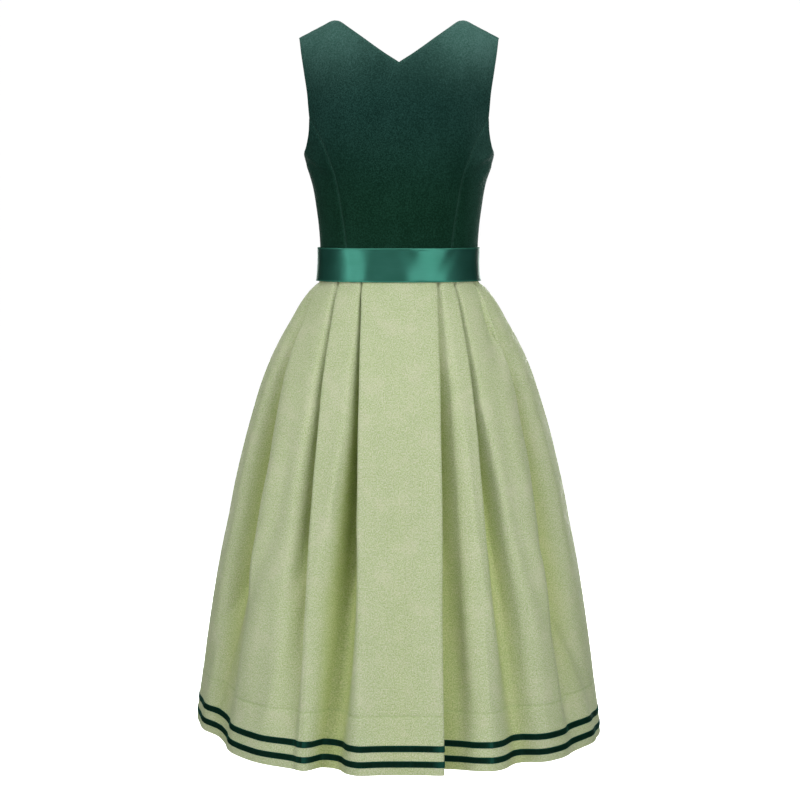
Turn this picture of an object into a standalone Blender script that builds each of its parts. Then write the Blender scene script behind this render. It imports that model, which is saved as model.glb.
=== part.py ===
"""Dirndl dress, filled out as if worn, with nobody in it.

The frame: +Z is up, +Y is the way the wearer faces, +X is the wearer's right.  The origin lies
midway between the two shoulder seams, at their mean height, where the wearer's shoulders hold
the dress.  Tables and named sizes are in millimetres, and MM turns them into metres.

The bodice is cut in seven panels: back, two side backs, two side fronts and two fronts.  They lie
on one surface.  A place on it is named by its turn (degrees round from the centre line of its
face, 90 at the side seam) and its fall (0 on the shoulder line, and rising with the square root
of the drop below it, so that even steps of fall stay even where the cloth rolls over the
shoulder).  The skirt is two pleated halves that meet in a valley at each side.
"""

import math
from collections import namedtuple

import bmesh
import bpy
import numpy as np
from mathutils import Vector

MM = 0.001

# ---- cloth and seams ------------------------------------------------------------------------
BODICE_WALL = 2.0
SKIRT_WALL = 1.5
BAND_WALL = 1.3
RIBBON_WALL = 0.8
SEAM_GAP = 0.3
BAND_CLEARANCE = 0.6
LAID_ON_GAP = 0.3

# ---- levels ---------------------------------------------------------------------------------
WAIST_SEAM_Z = -358.0
BAND_TOP_Z = -333.0
BAND_BOTTOM_Z = -383.7
HEM_Z = -1083.0

# ---- the bodice -----------------------------------------------------------------------------
# Half-width of the surface at each level.  Above the underarm it is wider than the cloth, whose
# armhole edge lies round on the back or the front.
Width = namedtuple("Width", "z half_width")
BODICE_WIDTHS = (
    Width(-358, 120.8), Width(-345, 120.8), Width(-333, 121.2), Width(-303, 123.2),
    Width(-271, 127.2), Width(-244, 131.4), Width(-224, 136.2), Width(-207, 142.2),
    Width(-191, 146.0), Width(-172, 148.8), Width(-156, 151.0), Width(-137, 153.5),
    Width(-110, 156.0), Width(-63, 159.0), Width(-13, 162.0), Width(20, 165.0),
)

# Depth of the surface behind and before the shoulder line, by the drop below it.
Depth = namedtuple("Depth", "drop back front")
BODICE_DEPTHS = (
    Depth(0, 0.0, 0.0), Depth(4, 17.0, 14.0), Depth(10, 30.0, 25.0), Depth(22, 47.0, 39.0),
    Depth(42, 64.0, 54.0), Depth(70, 79.0, 71.0), Depth(100, 89.0, 88.0), Depth(140, 97.0, 107.0),
    Depth(190, 102.0, 121.0), Depth(240, 100.5, 127.0), Depth(290, 95.5, 117.0),
    Depth(330, 91.6, 101.0), Depth(349, 90.4, 95.0), Depth(361, 90.0, 94.4),
    Depth(376, 90.0, 94.2),
)

# The line of the shoulder seams, carried on level across the neck and down past the tip.
Shoulder = namedtuple("Shoulder", "turn z")
SHOULDER_LINE = (
    Shoulder(0, 16.0), Shoulder(24, 15.6), Shoulder(38, 12.0), Shoulder(44.5, 5.6),
    Shoulder(51.5, -1.0), Shoulder(60, -7.6), Shoulder(70.8, -13.5), Shoulder(90, -20.0),
)
NECK_CENTRE_Z = 16.0
SHOULDER_SNAP = 2.0
FALL_HEIGHT = 376.0
LEVEL_FROM_Z = -60.0
LEVEL_BELOW_Z = -180.0
NORMAL_STEP_TURN = 0.25
NORMAL_STEP_FALL = 0.002

# The bust that the front princess seams are cut for: rise, place and spread of each side.
BUST_RISE = 9.0
BUST_TURN = 40.0
BUST_Z = -236.0
BUST_SPREAD_TURN = 19.0
BUST_SPREAD_Z = 48.0

# Edges and seams, as half-width and height.
Edge = namedtuple("Edge", "half_width z")
SHOULDER_SEAM = (Edge(153.0, -13.5), Edge(126.0, -0.9), Edge(98.5, 12.0))
BACK_NECK = (
    Edge(98.5, 12.0), Edge(78.0, 1.5), Edge(48.0, -21.5), Edge(21.5, -41.2), Edge(0.0, -55.4),
)
FRONT_NECK = (
    Edge(98.5, 12.0), Edge(86.0, -26.0), Edge(66.0, -76.0), Edge(37.0, -124.0), Edge(0.0, -164.0),
)
BACK_PRINCESS_IN_BAND = (Edge(77.5, -358.0), Edge(79.8, -333.0))
BACK_PRINCESS = (
    Edge(79.8, -333.0), Edge(86.0, -287.0), Edge(91.7, -252.0), Edge(99.3, -218.0),
    Edge(110.5, -188.0), Edge(123.5, -160.0), Edge(136.4, -137.0),
)
FRONT_PRINCESS_IN_BAND = (Edge(62.0, -358.0), Edge(65.0, -333.0))
FRONT_PRINCESS = (
    Edge(65.0, -333.0), Edge(75.0, -275.0), Edge(84.0, -236.0), Edge(96.0, -200.0),
    Edge(111.0, -163.0), Edge(127.5, -128.0),
)
BACK_ARMHOLE_TOP = (
    Edge(136.4, -137.0), Edge(138.8, -110.0), Edge(145.6, -63.0), Edge(150.0, -34.0),
    Edge(153.0, -13.5),
)
BACK_ARMHOLE_FOOT = (
    Edge(136.4, -137.0), Edge(137.4, -156.0), Edge(140.0, -171.5), Edge(143.6, -183.5),
    Edge(146.0, -191.0),
)
FRONT_ARMHOLE_TOP = (
    Edge(127.5, -128.0), Edge(127.8, -100.0), Edge(135.5, -60.0), Edge(145.5, -32.0),
    Edge(153.0, -13.5),
)
FRONT_ARMHOLE_FOOT = (
    Edge(127.5, -128.0), Edge(130.0, -150.0), Edge(135.5, -169.0), Edge(142.4, -183.5),
    Edge(146.0, -191.0),
)
SIDE_SEAM_TOP_Z = -191.0
CENTRE_FRONT_TOP_Z = -164.0

# How many cells each stretch of a panel has, and how the pull of its top edge dies out below.
BAND_ROWS = 2
PRINCESS_ROWS = 8
ARMHOLE_ROWS = 6
SHOULDER_COLUMNS = 3
BACK_NECK_COLUMNS = 8
FRONT_NECK_COLUMNS = 8
SIDE_COLUMNS = 5
TOP_PULL = 5.0

# ---- the skirt ------------------------------------------------------------------------------
# Outline of the skirt over its pleat edges.
SkirtRow = namedtuple("SkirtRow", "z half_width back_depth front_depth")
SKIRT_OUTLINE = (
    SkirtRow(-1083, 315.0, 300.0, 298.0), SkirtRow(-1060, 313.0, 298.0, 296.0),
    SkirtRow(-1012, 306.6, 290.5, 289.0), SkirtRow(-938, 297.4, 279.0, 278.0),
    SkirtRow(-861, 286.4, 266.0, 266.0), SkirtRow(-794, 274.8, 252.5, 253.0),
    SkirtRow(-752, 266.4, 243.0, 244.0), SkirtRow(-699, 256.8, 232.5, 234.0),
    SkirtRow(-637, 244.0, 218.0, 220.0), SkirtRow(-583, 230.6, 203.0, 205.0),
    SkirtRow(-541, 218.6, 187.0, 190.0), SkirtRow(-504, 204.6, 170.5, 174.0),
    SkirtRow(-472, 189.0, 151.5, 156.0), SkirtRow(-438, 169.4, 129.5, 134.0),
    SkirtRow(-421, 160.0, 119.5, 124.0), SkirtRow(-409, 152.4, 112.0, 116.5),
    SkirtRow(-397, 142.6, 104.0, 108.5), SkirtRow(-386, 125.0, 93.4, 97.6),
    SkirtRow(-384, 123.8, 92.4, 96.6), SkirtRow(-371, 121.6, 90.8, 95.0),
    SkirtRow(-358, 120.8, 90.0, 94.2),
)
SKIRT_RINGS = (
    -1083.0, -1056.0, -1020.0, -930.0, -830.0, -735.0, -650.0, -582.0, -530.0, -488.0, -452.0,
    -422.0, -398.0, -385.0, -371.0, -358.3,
)

# One row for each pleat edge of a quarter, from the centre outward.  The arcs are measured along
# the outline from the centre line.  At the waist the cloth turns back under the edge by the
# tuck, and at the hem the valley lies past the edge by the run (less than nothing: still under
# it).  The depths are the valley's below the outline, at mid-skirt and at the hem.
Pleat = namedtuple("Pleat", "waist_arc hem_arc tuck run mid_depth hem_depth")
BACK_RIGHT_PLEATS = (
    Pleat(58, 66, 14, -5, 26, 38), Pleat(92, 150, 14, 42, 14, 25),
    Pleat(132, 280, 14, 58, 13, 11), Pleat(153, 452, 6, 22, 12, 12),
)
BACK_LEFT_PLEATS = (
    Pleat(56, 62, 14, 42, 24, 16), Pleat(94, 151, 14, 46, 17, 5),
    Pleat(135, 284, 14, 54, 17, 18), Pleat(154, 460, 6, 15, 12, 12),
)
FRONT_RIGHT_PLEATS = (
    Pleat(57, 64, 14, 38, 22, 20), Pleat(94, 152, 14, 44, 16, 14),
    Pleat(135, 284, 14, 56, 15, 16), Pleat(157, 452, 6, 20, 12, 12),
)
FRONT_LEFT_PLEATS = (
    Pleat(59, 66, 14, 40, 23, 24), Pleat(95, 149, 14, 40, 14, 18),
    Pleat(134, 278, 14, 60, 14, 13), Pleat(156, 456, 6, 18, 12, 12),
)
# How a pleat turns.  Pitches, turns and shoulders are in millimetres; at the waist it is folded
# flat, and it opens once the tuck is less than OPENS_FROM, over the next OPENS_OVER.  Sinks are
# shares of the valley's depth.
LAYER_PITCH = 2.3
CREST_TURN_AT_HEM = 5.0
VALLEY_TURN_AT_HEM = 8.0
ARC_GROWTH = 1.25
UNDER_CREST = 2.0
BEFORE_TUCK = 3.0
LEAST_STEP = 1.0
LAST_STEP = 1.5
OPEN_SHOULDER = 8.0
UNDERLAY_LEAN = 0.28
OPENS_FROM = 4.0
OPENS_OVER = 16.0
OPEN_CREST_SINK = 0.04
OPEN_UNDER_CREST_SINK = 0.24
OPEN_BEFORE_VALLEY_SINK = 0.80
MID_DEPTH_SHARE_AT_QUARTER = 0.55
RISE_POWER = 1.4
RISE_SHARES = (0.06, 0.48, 0.94)
CENTRE_SHARES = (0.0, 0.34, 0.67)
CENTRE_HOLLOW_AT_HEM = 9.0
MID_SKIRT = 0.7
VALLEY_FROM_SEAM = 4.0
OUTLINE_SAMPLES = 241
MITRE_LIMIT = 0.6
HEM_LIFT = 16.0
HEM_LIFT_TURN = -88.0
HEM_LIFT_SPREAD = 58.0

# ---- what is laid on ------------------------------------------------------------------------
# The hem ribbons' edges, above the hem.
LOWER_RIBBON = (11.0, 20.0)
UPPER_RIBBON = (33.0, 42.0)

# The ribbon round the waist goes once round and laps over its own end at the centre front.
BAND_COLUMNS = 52
BAND_LAP = 30.0
BAND_LAP_RAMP = 14.0
BAND_LAP_COLUMNS = 4
BAND_ROWS_Z = (BAND_BOTTOM_Z, -371.0, WAIST_SEAM_Z, -345.0, BAND_TOP_Z)

# ---- cloths ---------------------------------------------------------------------------------
Cloth = namedtuple("Cloth", "colour roughness")
GREEN_VELVET = Cloth((0.012, 0.060, 0.042), 0.75)
GREEN_SATIN = Cloth((0.022, 0.150, 0.098), 0.35)
SAGE_JACQUARD = Cloth((0.440, 0.520, 0.290), 0.7)
VELVET_RIBBON = Cloth((0.003, 0.035, 0.020), 0.6)
SHARP_FROM_DEGREES = 50


def smooth_through(xs, ys, x):
    """Value at x of the monotone curve through rising xs, held level past both ends."""
    if x <= xs[0]:
        return ys[0]
    if x >= xs[-1]:
        return ys[-1]
    steps = np.diff(xs)
    slopes = np.diff(ys) / steps
    tangents = np.zeros(len(xs))
    tangents[0] = slopes[0]
    tangents[-1] = slopes[-1]
    for i in range(1, len(xs) - 1):
        if slopes[i - 1] * slopes[i] > 0:
            before = 2 * steps[i] + steps[i - 1]
            after = steps[i] + 2 * steps[i - 1]
            tangents[i] = (before + after) / (before / slopes[i - 1] + after / slopes[i])
    cell = int(np.searchsorted(xs, x)) - 1
    share = (x - xs[cell]) / steps[cell]
    low = ys[cell]
    high = ys[cell + 1]
    lead_in = tangents[cell] * steps[cell]
    lead_out = tangents[cell + 1] * steps[cell]
    rest = 1 - share
    bend_low = low * (1 + 2 * share) * rest ** 2 + lead_in * share * rest ** 2
    bend_high = high * (3 - 2 * share) * share ** 2 - lead_out * rest * share ** 2
    return bend_low + bend_high


def from_table(rows, column, key):
    """Value of a column at a key, the rows' first column being the key in rising order."""
    keys = [row[0] for row in rows]
    values = [getattr(row, column) for row in rows]
    return smooth_through(keys, values, key)


def eased(share):
    """Smooth step from 0 to 1."""
    share = min(max(share, 0.0), 1.0)
    return share * share * (3 - 2 * share)


def between(low, high, share):
    return low + (high - low) * share


# ---- meshes and objects ---------------------------------------------------------------------

def wall_mesh(name, outer, inner, closed):
    """Mesh of a wall between two grids of points, rows of columns.  A closed wall is a ring."""
    mesh = bpy.data.meshes.new(name)
    build = bmesh.new()
    rows = len(outer)
    columns = len(outer[0])
    out_verts = [[build.verts.new(point) for point in row] for row in outer]
    in_verts = [[build.verts.new(point) for point in row] for row in inner]
    spans = [(c, (c + 1) % columns) for c in range(columns if closed else columns - 1)]
    for r in range(rows - 1):
        for here, beyond in spans:
            for grid in (out_verts, in_verts):
                build.faces.new((grid[r][here], grid[r][beyond],
                                 grid[r + 1][beyond], grid[r + 1][here]))
    for r in (0, rows - 1):
        for here, beyond in spans:
            build.faces.new((out_verts[r][here], out_verts[r][beyond],
                             in_verts[r][beyond], in_verts[r][here]))
    if not closed:
        for c in (0, columns - 1):
            for r in range(rows - 1):
                build.faces.new((out_verts[r][c], out_verts[r + 1][c],
                                 in_verts[r + 1][c], in_verts[r][c]))
    bmesh.ops.recalc_face_normals(build, faces=build.faces)
    build.to_mesh(mesh)
    build.free()
    return mesh


def plain_material(name, cloth):
    material = bpy.data.materials.new(name)
    material.use_nodes = True
    shader = material.node_tree.nodes["Principled BSDF"]
    shader.inputs["Base Color"].default_value = (*cloth.colour, 1.0)
    shader.inputs["Roughness"].default_value = cloth.roughness
    shader.inputs["Metallic"].default_value = 0.0
    return material


def add_piece(name, mesh, cloth):
    mesh.shade_smooth()
    mesh.set_sharp_from_angle(angle=math.radians(SHARP_FROM_DEGREES))
    piece = bpy.data.objects.new(name, mesh)
    mesh.materials.append(plain_material(name + "_cloth", cloth))
    bpy.context.scene.collection.objects.link(piece)


# ---- the bodice surface ---------------------------------------------------------------------

def shoulder_z(turn):
    return from_table(SHOULDER_LINE, "z", abs(turn))


def fall_at(turn, z):
    """Fall that brings the surface to a height, at a turn; close to the shoulder line it is 0."""
    drop = shoulder_z(turn) - z
    return math.sqrt(drop / FALL_HEIGHT) if drop > SHOULDER_SNAP else 0.0


def bodice_depth(drop, face):
    falls = [math.sqrt(row.drop) for row in BODICE_DEPTHS]
    depths = [getattr(row, face) for row in BODICE_DEPTHS]
    return smooth_through(falls, depths, math.sqrt(max(drop, 0.0)))


def bodice_point(face, turn, fall):
    """Point of the bodice's outer surface, in millimetres."""
    own_drop = FALL_HEIGHT * fall * abs(fall)
    z = shoulder_z(turn) - own_drop
    levelled = eased((LEVEL_FROM_Z - z) / (LEVEL_FROM_Z - LEVEL_BELOW_Z))
    depth = bodice_depth(between(own_drop, NECK_CENTRE_Z - z, levelled), face)
    if own_drop < 0:
        depth = -bodice_depth(-own_drop, face)
    width = from_table(BODICE_WIDTHS, "half_width", z)
    if face == "front":
        off_turn = (abs(turn) - BUST_TURN) / BUST_SPREAD_TURN
        off_z = (z - BUST_Z) / BUST_SPREAD_Z
        rise = BUST_RISE * math.exp(-off_turn ** 2 - off_z ** 2)
        width *= 1 + rise / width
        depth *= 1 + rise / depth if depth > rise else 1
    side = 1 if face == "front" else -1
    angle = math.radians(turn)
    return Vector((width * math.sin(angle), side * depth * math.cos(angle), z))


def bodice_normal(face, turn, fall):
    """Outward unit normal of the bodice's surface."""
    across = (bodice_point(face, turn + NORMAL_STEP_TURN, fall)
              - bodice_point(face, turn - NORMAL_STEP_TURN, fall))
    down = (bodice_point(face, turn, fall + NORMAL_STEP_FALL)
            - bodice_point(face, turn, fall - NORMAL_STEP_FALL))
    normal = across.cross(down) if face == "front" else down.cross(across)
    return normal.normalized()


def turn_at(half_width, z):
    width = from_table(BODICE_WIDTHS, "half_width", z)
    return math.degrees(math.asin(min(half_width / width, 1.0)))


def edge_places(face, edge, side, cells):
    """Places (turn, fall), evenly spaced along an edge of the bodice; side is -1 or 1."""
    turns = [side * turn_at(point.half_width, point.z) for point in edge]
    falls = [fall_at(turn, point.z) for turn, point in zip(turns, edge)]
    points = [bodice_point(face, turn, fall) for turn, fall in zip(turns, falls)]
    run = [0.0]
    for before, after in zip(points, points[1:]):
        run.append(run[-1] + (after - before).length)
    places = []
    for cell in range(cells + 1):
        length = run[-1] * cell / cells
        turn = smooth_through(run, turns, length)
        fall = smooth_through(run, falls, length)
        places.append((turn, fall))
    return places


def level_places(face, start_turn, end_turn, z, shares):
    """Places along a level line, at shares of the way between two turns."""
    turns = [between(start_turn, end_turn, share) for share in shares]
    return [(turn, fall_at(turn, z)) for turn in turns]


def upright_places(turn, high_z, cells):
    """Places up a line of constant turn, with their own cells under the waist ribbon."""
    band_z = [between(WAIST_SEAM_Z, BAND_TOP_Z, cell / BAND_ROWS) for cell in range(BAND_ROWS)]
    upper_z = [between(BAND_TOP_Z, high_z, cell / cells) for cell in range(cells + 1)]
    return [(turn, fall_at(turn, z)) for z in band_z + upper_z]


def shares_along(face, places):
    """Share of the length of a line that each of its places has reached."""
    points = [bodice_point(face, *place) for place in places]
    run = [0.0]
    for before, after in zip(points, points[1:]):
        run.append(run[-1] + (after - before).length)
    return [length / run[-1] for length in run]


def patch_places(bottom, top, left, right, across, up):
    """Grid of places filled in between four edges, by shares across and up."""
    grid = []
    for r, rise in enumerate(up):
        row = []
        pull = rise ** TOP_PULL
        for c, reach in enumerate(across):
            place = []
            for k in range(2):
                level = between(bottom[c][k], top[c][k], pull)
                upright = between(left[r][k], right[r][k], reach)
                low = between(bottom[0][k], bottom[-1][k], reach)
                high = between(top[0][k], top[-1][k], reach)
                place.append(level + upright - between(low, high, pull))
            row.append(tuple(place))
        grid.append(row)
    return grid


def drawn_in(edge, inside):
    """Points of a seam edge drawn half the gap into their panel, square to the seam."""
    moved = []
    for i, point in enumerate(edge):
        before = edge[max(i - 1, 0)]
        after = edge[min(i + 1, len(edge) - 1)]
        along = (after - before).normalized()
        into = inside[i] - point
        into -= into.dot(along) * along
        moved.append(point + into.normalized() * SEAM_GAP / 2)
    return moved


def add_bodice_panel(name, face, places, seams):
    """One panel from its grid of places, drawn in along the seams named."""
    outer = [[bodice_point(face, *place) for place in row] for row in places]
    normals = [[bodice_normal(face, *place) for place in row] for row in places]
    if "left" in seams:
        edge = drawn_in([row[0] for row in outer], [row[1] for row in outer])
        for row, point in zip(outer, edge):
            row[0] = point
    if "right" in seams:
        edge = drawn_in([row[-1] for row in outer], [row[-2] for row in outer])
        for row, point in zip(outer, edge):
            row[-1] = point
    for first, count in seams.get("top", ()):
        cells = slice(first, first + count + 1)
        outer[-1][cells] = drawn_in(outer[-1][cells], outer[-2][cells])
    inner = [[point - normal * BODICE_WALL for point, normal in zip(*rows)]
             for rows in zip(outer, normals)]
    scaled_outer = [[point * MM for point in row] for row in outer]
    scaled_inner = [[point * MM for point in row] for row in inner]
    mesh = wall_mesh(name, scaled_outer, scaled_inner, closed=False)
    add_piece(name, mesh, GREEN_VELVET)


def joined(*stretches):
    """One line of places from stretches that share their end places."""
    line = list(stretches[0])
    for stretch in stretches[1:]:
        line += stretch[1:]
    return line


def backwards(places):
    return list(reversed(places))


def princess_line(face, side):
    """The princess seam from the waist up to the armhole."""
    in_band = BACK_PRINCESS_IN_BAND if face == "back" else FRONT_PRINCESS_IN_BAND
    princess = BACK_PRINCESS if face == "back" else FRONT_PRINCESS
    return joined(edge_places(face, in_band, side, BAND_ROWS),
                  edge_places(face, princess, side, PRINCESS_ROWS))


def side_line(face, side):
    """The princess seam and the armhole above it, from the waist to the shoulder tip."""
    armhole = BACK_ARMHOLE_TOP if face == "back" else FRONT_ARMHOLE_TOP
    return joined(princess_line(face, side), edge_places(face, armhole, side, ARMHOLE_ROWS))


def add_bodice_back():
    """The back is one panel, with no seam down its middle and a V at the neck."""
    left = side_line("back", -1)
    right = side_line("back", 1)
    top = joined(edge_places("back", SHOULDER_SEAM, -1, SHOULDER_COLUMNS),
                 edge_places("back", BACK_NECK, -1, BACK_NECK_COLUMNS),
                 backwards(edge_places("back", BACK_NECK, 1, BACK_NECK_COLUMNS)),
                 backwards(edge_places("back", SHOULDER_SEAM, 1, SHOULDER_COLUMNS)))
    across = shares_along("back", top)
    up = shares_along("back", left)
    bottom = level_places("back", left[0][0], right[0][0], WAIST_SEAM_Z, across)
    places = patch_places(bottom, top, left, right, across, up)
    last = len(top) - 1 - SHOULDER_COLUMNS
    seams = {"left": True, "right": True,
             "top": ((0, SHOULDER_COLUMNS), (last, SHOULDER_COLUMNS))}
    add_bodice_panel("bodice_back", "back", places, seams)


def add_bodice_front(name, side):
    """A front runs from the centre-front opening to the princess seam and the armhole."""
    centre = upright_places(0.0, CENTRE_FRONT_TOP_Z, PRINCESS_ROWS + ARMHOLE_ROWS)
    outer = side_line("front", side)
    top = joined(backwards(edge_places("front", FRONT_NECK, side, FRONT_NECK_COLUMNS)),
                 backwards(edge_places("front", SHOULDER_SEAM, side, SHOULDER_COLUMNS)))
    across = shares_along("front", top)
    up = shares_along("front", outer)
    bottom = level_places("front", 0.0, outer[0][0], WAIST_SEAM_Z, across)
    places = patch_places(bottom, top, centre, outer, across, up)
    seams = {"left": True, "right": True, "top": ((FRONT_NECK_COLUMNS, SHOULDER_COLUMNS),)}
    add_bodice_panel(name, "front", places, seams)


def add_bodice_side(name, face, side):
    """A side panel fills the gap between a princess seam and the side seam."""
    armhole = BACK_ARMHOLE_FOOT if face == "back" else FRONT_ARMHOLE_FOOT
    inner = princess_line(face, side)
    seam = upright_places(side * 90.0, SIDE_SEAM_TOP_Z, PRINCESS_ROWS)
    top = edge_places(face, armhole, side, SIDE_COLUMNS)
    across = shares_along(face, top)
    up = shares_along(face, inner)
    bottom = level_places(face, inner[0][0], side * 90.0, WAIST_SEAM_Z, across)
    places = patch_places(bottom, top, inner, seam, across, up)
    add_bodice_panel(name, face, places, {"left": True, "right": True})


# ---- the skirt ------------------------------------------------------------------------------

def skirt_growth(z):
    """How far the skirt has widened at a height: 0 at the waist seam, 1 at the hem."""
    waist = SKIRT_OUTLINE[-1].half_width
    hem = SKIRT_OUTLINE[0].half_width
    return (from_table(SKIRT_OUTLINE, "half_width", z) - waist) / (hem - waist)


def outline_at(face, z):
    """Half-width and depth of the middle of the cloth on its pleat edges."""
    half_width = from_table(SKIRT_OUTLINE, "half_width", z) - SKIRT_WALL / 2
    depth = from_table(SKIRT_OUTLINE, face + "_depth", z) - SKIRT_WALL / 2
    return half_width, depth


def quarter_arcs(half_width, depth):
    """Angles round a quarter of the outline and the arc reached at each."""
    angles = np.linspace(0, math.pi / 2, OUTLINE_SAMPLES)
    xs = half_width * np.sin(angles)
    ys = depth * np.cos(angles)
    arcs = np.concatenate(([0.0], np.cumsum(np.hypot(np.diff(xs), np.diff(ys)))))
    return angles, arcs


def pleat_shape(pleat, growth, seam_arc):
    """Crest and valley of a pleat at one level: six pairs of arc and depth."""
    crest = between(pleat.waist_arc, pleat.hem_arc, growth ** ARC_GROWTH)
    tuck = between(pleat.tuck, -pleat.run, growth)
    valley = min(crest - tuck, seam_arc - VALLEY_FROM_SEAM * (1 + growth))
    closed_depth = 2 * LAYER_PITCH
    depth = smooth_through(
        (0.0, MID_SKIRT / 2, MID_SKIRT, 1.0),
        (closed_depth, between(closed_depth, pleat.mid_depth, MID_DEPTH_SHARE_AT_QUARTER),
         pleat.mid_depth, pleat.hem_depth), growth)
    opening = eased((OPENS_FROM - tuck) / OPENS_OVER)
    crest_turn = between(LAYER_PITCH, CREST_TURN_AT_HEM, growth)
    valley_turn = between(LAYER_PITCH, VALLEY_TURN_AT_HEM, growth)
    lean = UNDERLAY_LEAN * max(valley - crest, 0.0)
    shoulder = min(OPEN_SHOULDER, max(lean, crest_turn))
    rows = (
        (crest - between(crest_turn / 2, shoulder, opening), 0.0),
        (crest, between(crest_turn / 2, OPEN_CREST_SINK * depth, opening)),
        (crest - between(crest_turn / 2, -lean, opening),
         between(crest_turn, OPEN_UNDER_CREST_SINK * depth, opening)),
        (valley + between(valley_turn / 2, -lean, opening),
         between(depth - valley_turn, OPEN_BEFORE_VALLEY_SINK * depth, opening)),
        (valley, between(depth - valley_turn / 2, depth, opening)),
        (min(valley + between(valley_turn / 2, shoulder, opening), seam_arc - LAST_STEP), depth),
    )
    return rows, tuck, depth


def quarter_section(face, pleats, z):
    """Arc and depth of the cloth's middle from the centre line to the side seam."""
    growth = skirt_growth(z)
    half_width, depth = outline_at(face, z)
    seam_arc = quarter_arcs(half_width, depth)[1][-1] - SEAM_GAP / 2
    section = []
    hollow = CENTRE_HOLLOW_AT_HEM * growth ** 2
    valley_depth = 0.0
    ramp_start = None
    for pleat in pleats:
        rows, tuck, deep = pleat_shape(pleat, growth, seam_arc)
        if ramp_start is None:
            for share in CENTRE_SHARES:
                section.append((rows[0][0] * share, hollow * (1 - share ** 2)))
        else:
            ramp_end = min(rows[1][0] - max(tuck, 0.0) - BEFORE_TUCK, rows[0][0] - LEAST_STEP)
            for share in RISE_SHARES:
                arc = between(ramp_start, ramp_end, share)
                section.append((arc, valley_depth * (1 - share ** RISE_POWER)))
        section.extend(rows)
        ramp_start = max(rows[5][0] + LEAST_STEP, rows[1][0] + UNDER_CREST)
        valley_depth = deep
    section.append((seam_arc, valley_depth))
    return section


def hem_lift(angle, z):
    """How far the hem is carried up on the left side, dying out toward the waist."""
    off = min(abs(math.degrees(angle) - HEM_LIFT_TURN) / HEM_LIFT_SPREAD, 1.0)
    reach = (WAIST_SEAM_Z - z) / (WAIST_SEAM_Z - HEM_Z)
    return HEM_LIFT * math.cos(off * math.pi / 2) ** 2 * max(reach, 0.0) ** 2


def placed_quarter(face, pleats, side, z):
    """Points of the cloth's middle in a quarter, from the centre line to the side seam."""
    half_width, depth = outline_at(face, z)
    angles, arcs = quarter_arcs(half_width, depth)
    forward = 1 if face == "front" else -1
    points = []
    for arc, sunk in quarter_section(face, pleats, z):
        angle = float(np.interp(arc, arcs, angles))
        normal = Vector((math.sin(angle) / half_width, math.cos(angle) / depth, 0.0)).normalized()
        x = half_width * math.sin(angle) - normal.x * sunk
        y = depth * math.cos(angle) - normal.y * sunk
        lift = hem_lift(side * angle, z)
        points.append(Vector((side * x, forward * y, z + lift)))
    return points


def skirt_ring(face, z):
    """Points of half a ring, anticlockwise from above, from one side seam to the other."""
    if face == "back":
        start = placed_quarter(face, BACK_LEFT_PLEATS, -1, z)
        finish = placed_quarter(face, BACK_RIGHT_PLEATS, 1, z)
    else:
        start = placed_quarter(face, FRONT_RIGHT_PLEATS, 1, z)
        finish = placed_quarter(face, FRONT_LEFT_PLEATS, -1, z)
    return list(reversed(start)) + finish[1:]


def outward_normals(ring, closed):
    """Mitred outward normals of an anticlockwise line of points, in plan.

    A line that isn't closed ends at the side seams, where the cloth is cut off square to X.
    """
    count = len(ring)
    normals = []
    for i, point in enumerate(ring):
        before = ring[(i - 1) % count] if closed or i > 0 else None
        after = ring[(i + 1) % count] if closed or i < count - 1 else None
        sides = []
        for start, end in ((before, point), (point, after)):
            if start is not None and end is not None:
                run = end - start
                sides.append(Vector((run.y, -run.x, 0.0)).normalized())
        mean = sum(sides, Vector((0.0, 0.0, 0.0))).normalized()
        if len(sides) == 1:
            mean = Vector((math.copysign(1.0, mean.x), 0.0, 0.0))
        normals.append(mean / max(mean.dot(sides[0]), MITRE_LIMIT))
    return normals


def add_skirt_half(name, face):
    outer = []
    inner = []
    for z in SKIRT_RINGS:
        ring = skirt_ring(face, z)
        normals = outward_normals(ring, closed=False)
        half = SKIRT_WALL / 2
        outer.append([(point + normal * half) * MM for point, normal in zip(ring, normals)])
        inner.append([(point - normal * half) * MM for point, normal in zip(ring, normals)])
    mesh = wall_mesh(name, outer, inner, closed=False)
    add_piece(name, mesh, SAGE_JACQUARD)


# ---- the ribbons ----------------------------------------------------------------------------

def full_ring(z):
    """A whole ring of the skirt, with one point at each side seam."""
    return skirt_ring("back", z)[:-1] + skirt_ring("front", z)[:-1]


def add_hem_ribbon(name, edges):
    """A ribbon laid on the skirt: the skirt's own points, moved out."""
    base = SKIRT_WALL / 2 + LAID_ON_GAP
    outer = []
    inner = []
    for height in edges:
        z = HEM_Z + height
        above = min(level for level in SKIRT_RINGS if level >= z)
        below = max(level for level in SKIRT_RINGS if level <= z)
        share = (z - below) / (above - below)
        low = full_ring(below)
        high = full_ring(above)
        low_normals = outward_normals(low, closed=True)
        high_normals = outward_normals(high, closed=True)
        ring = [start.lerp(end, share) for start, end in zip(low, high)]
        normals = [start.lerp(end, share) for start, end in zip(low_normals, high_normals)]
        inner.append([(point + normal * base) * MM for point, normal in zip(ring, normals)])
        outer.append([(point + normal * (base + RIBBON_WALL)) * MM
                      for point, normal in zip(ring, normals)])
    mesh = wall_mesh(name, outer, inner, closed=True)
    add_piece(name, mesh, VELVET_RIBBON)


def waist_surface(z):
    """Half-width, back depth and front depth of what the waist ribbon goes round."""
    if z < WAIST_SEAM_Z:
        return (from_table(SKIRT_OUTLINE, "half_width", z),
                from_table(SKIRT_OUTLINE, "back_depth", z),
                from_table(SKIRT_OUTLINE, "front_depth", z))
    drop = NECK_CENTRE_Z - z
    return (from_table(BODICE_WIDTHS, "half_width", z),
            bodice_depth(drop, "back"), bodice_depth(drop, "front"))


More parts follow.
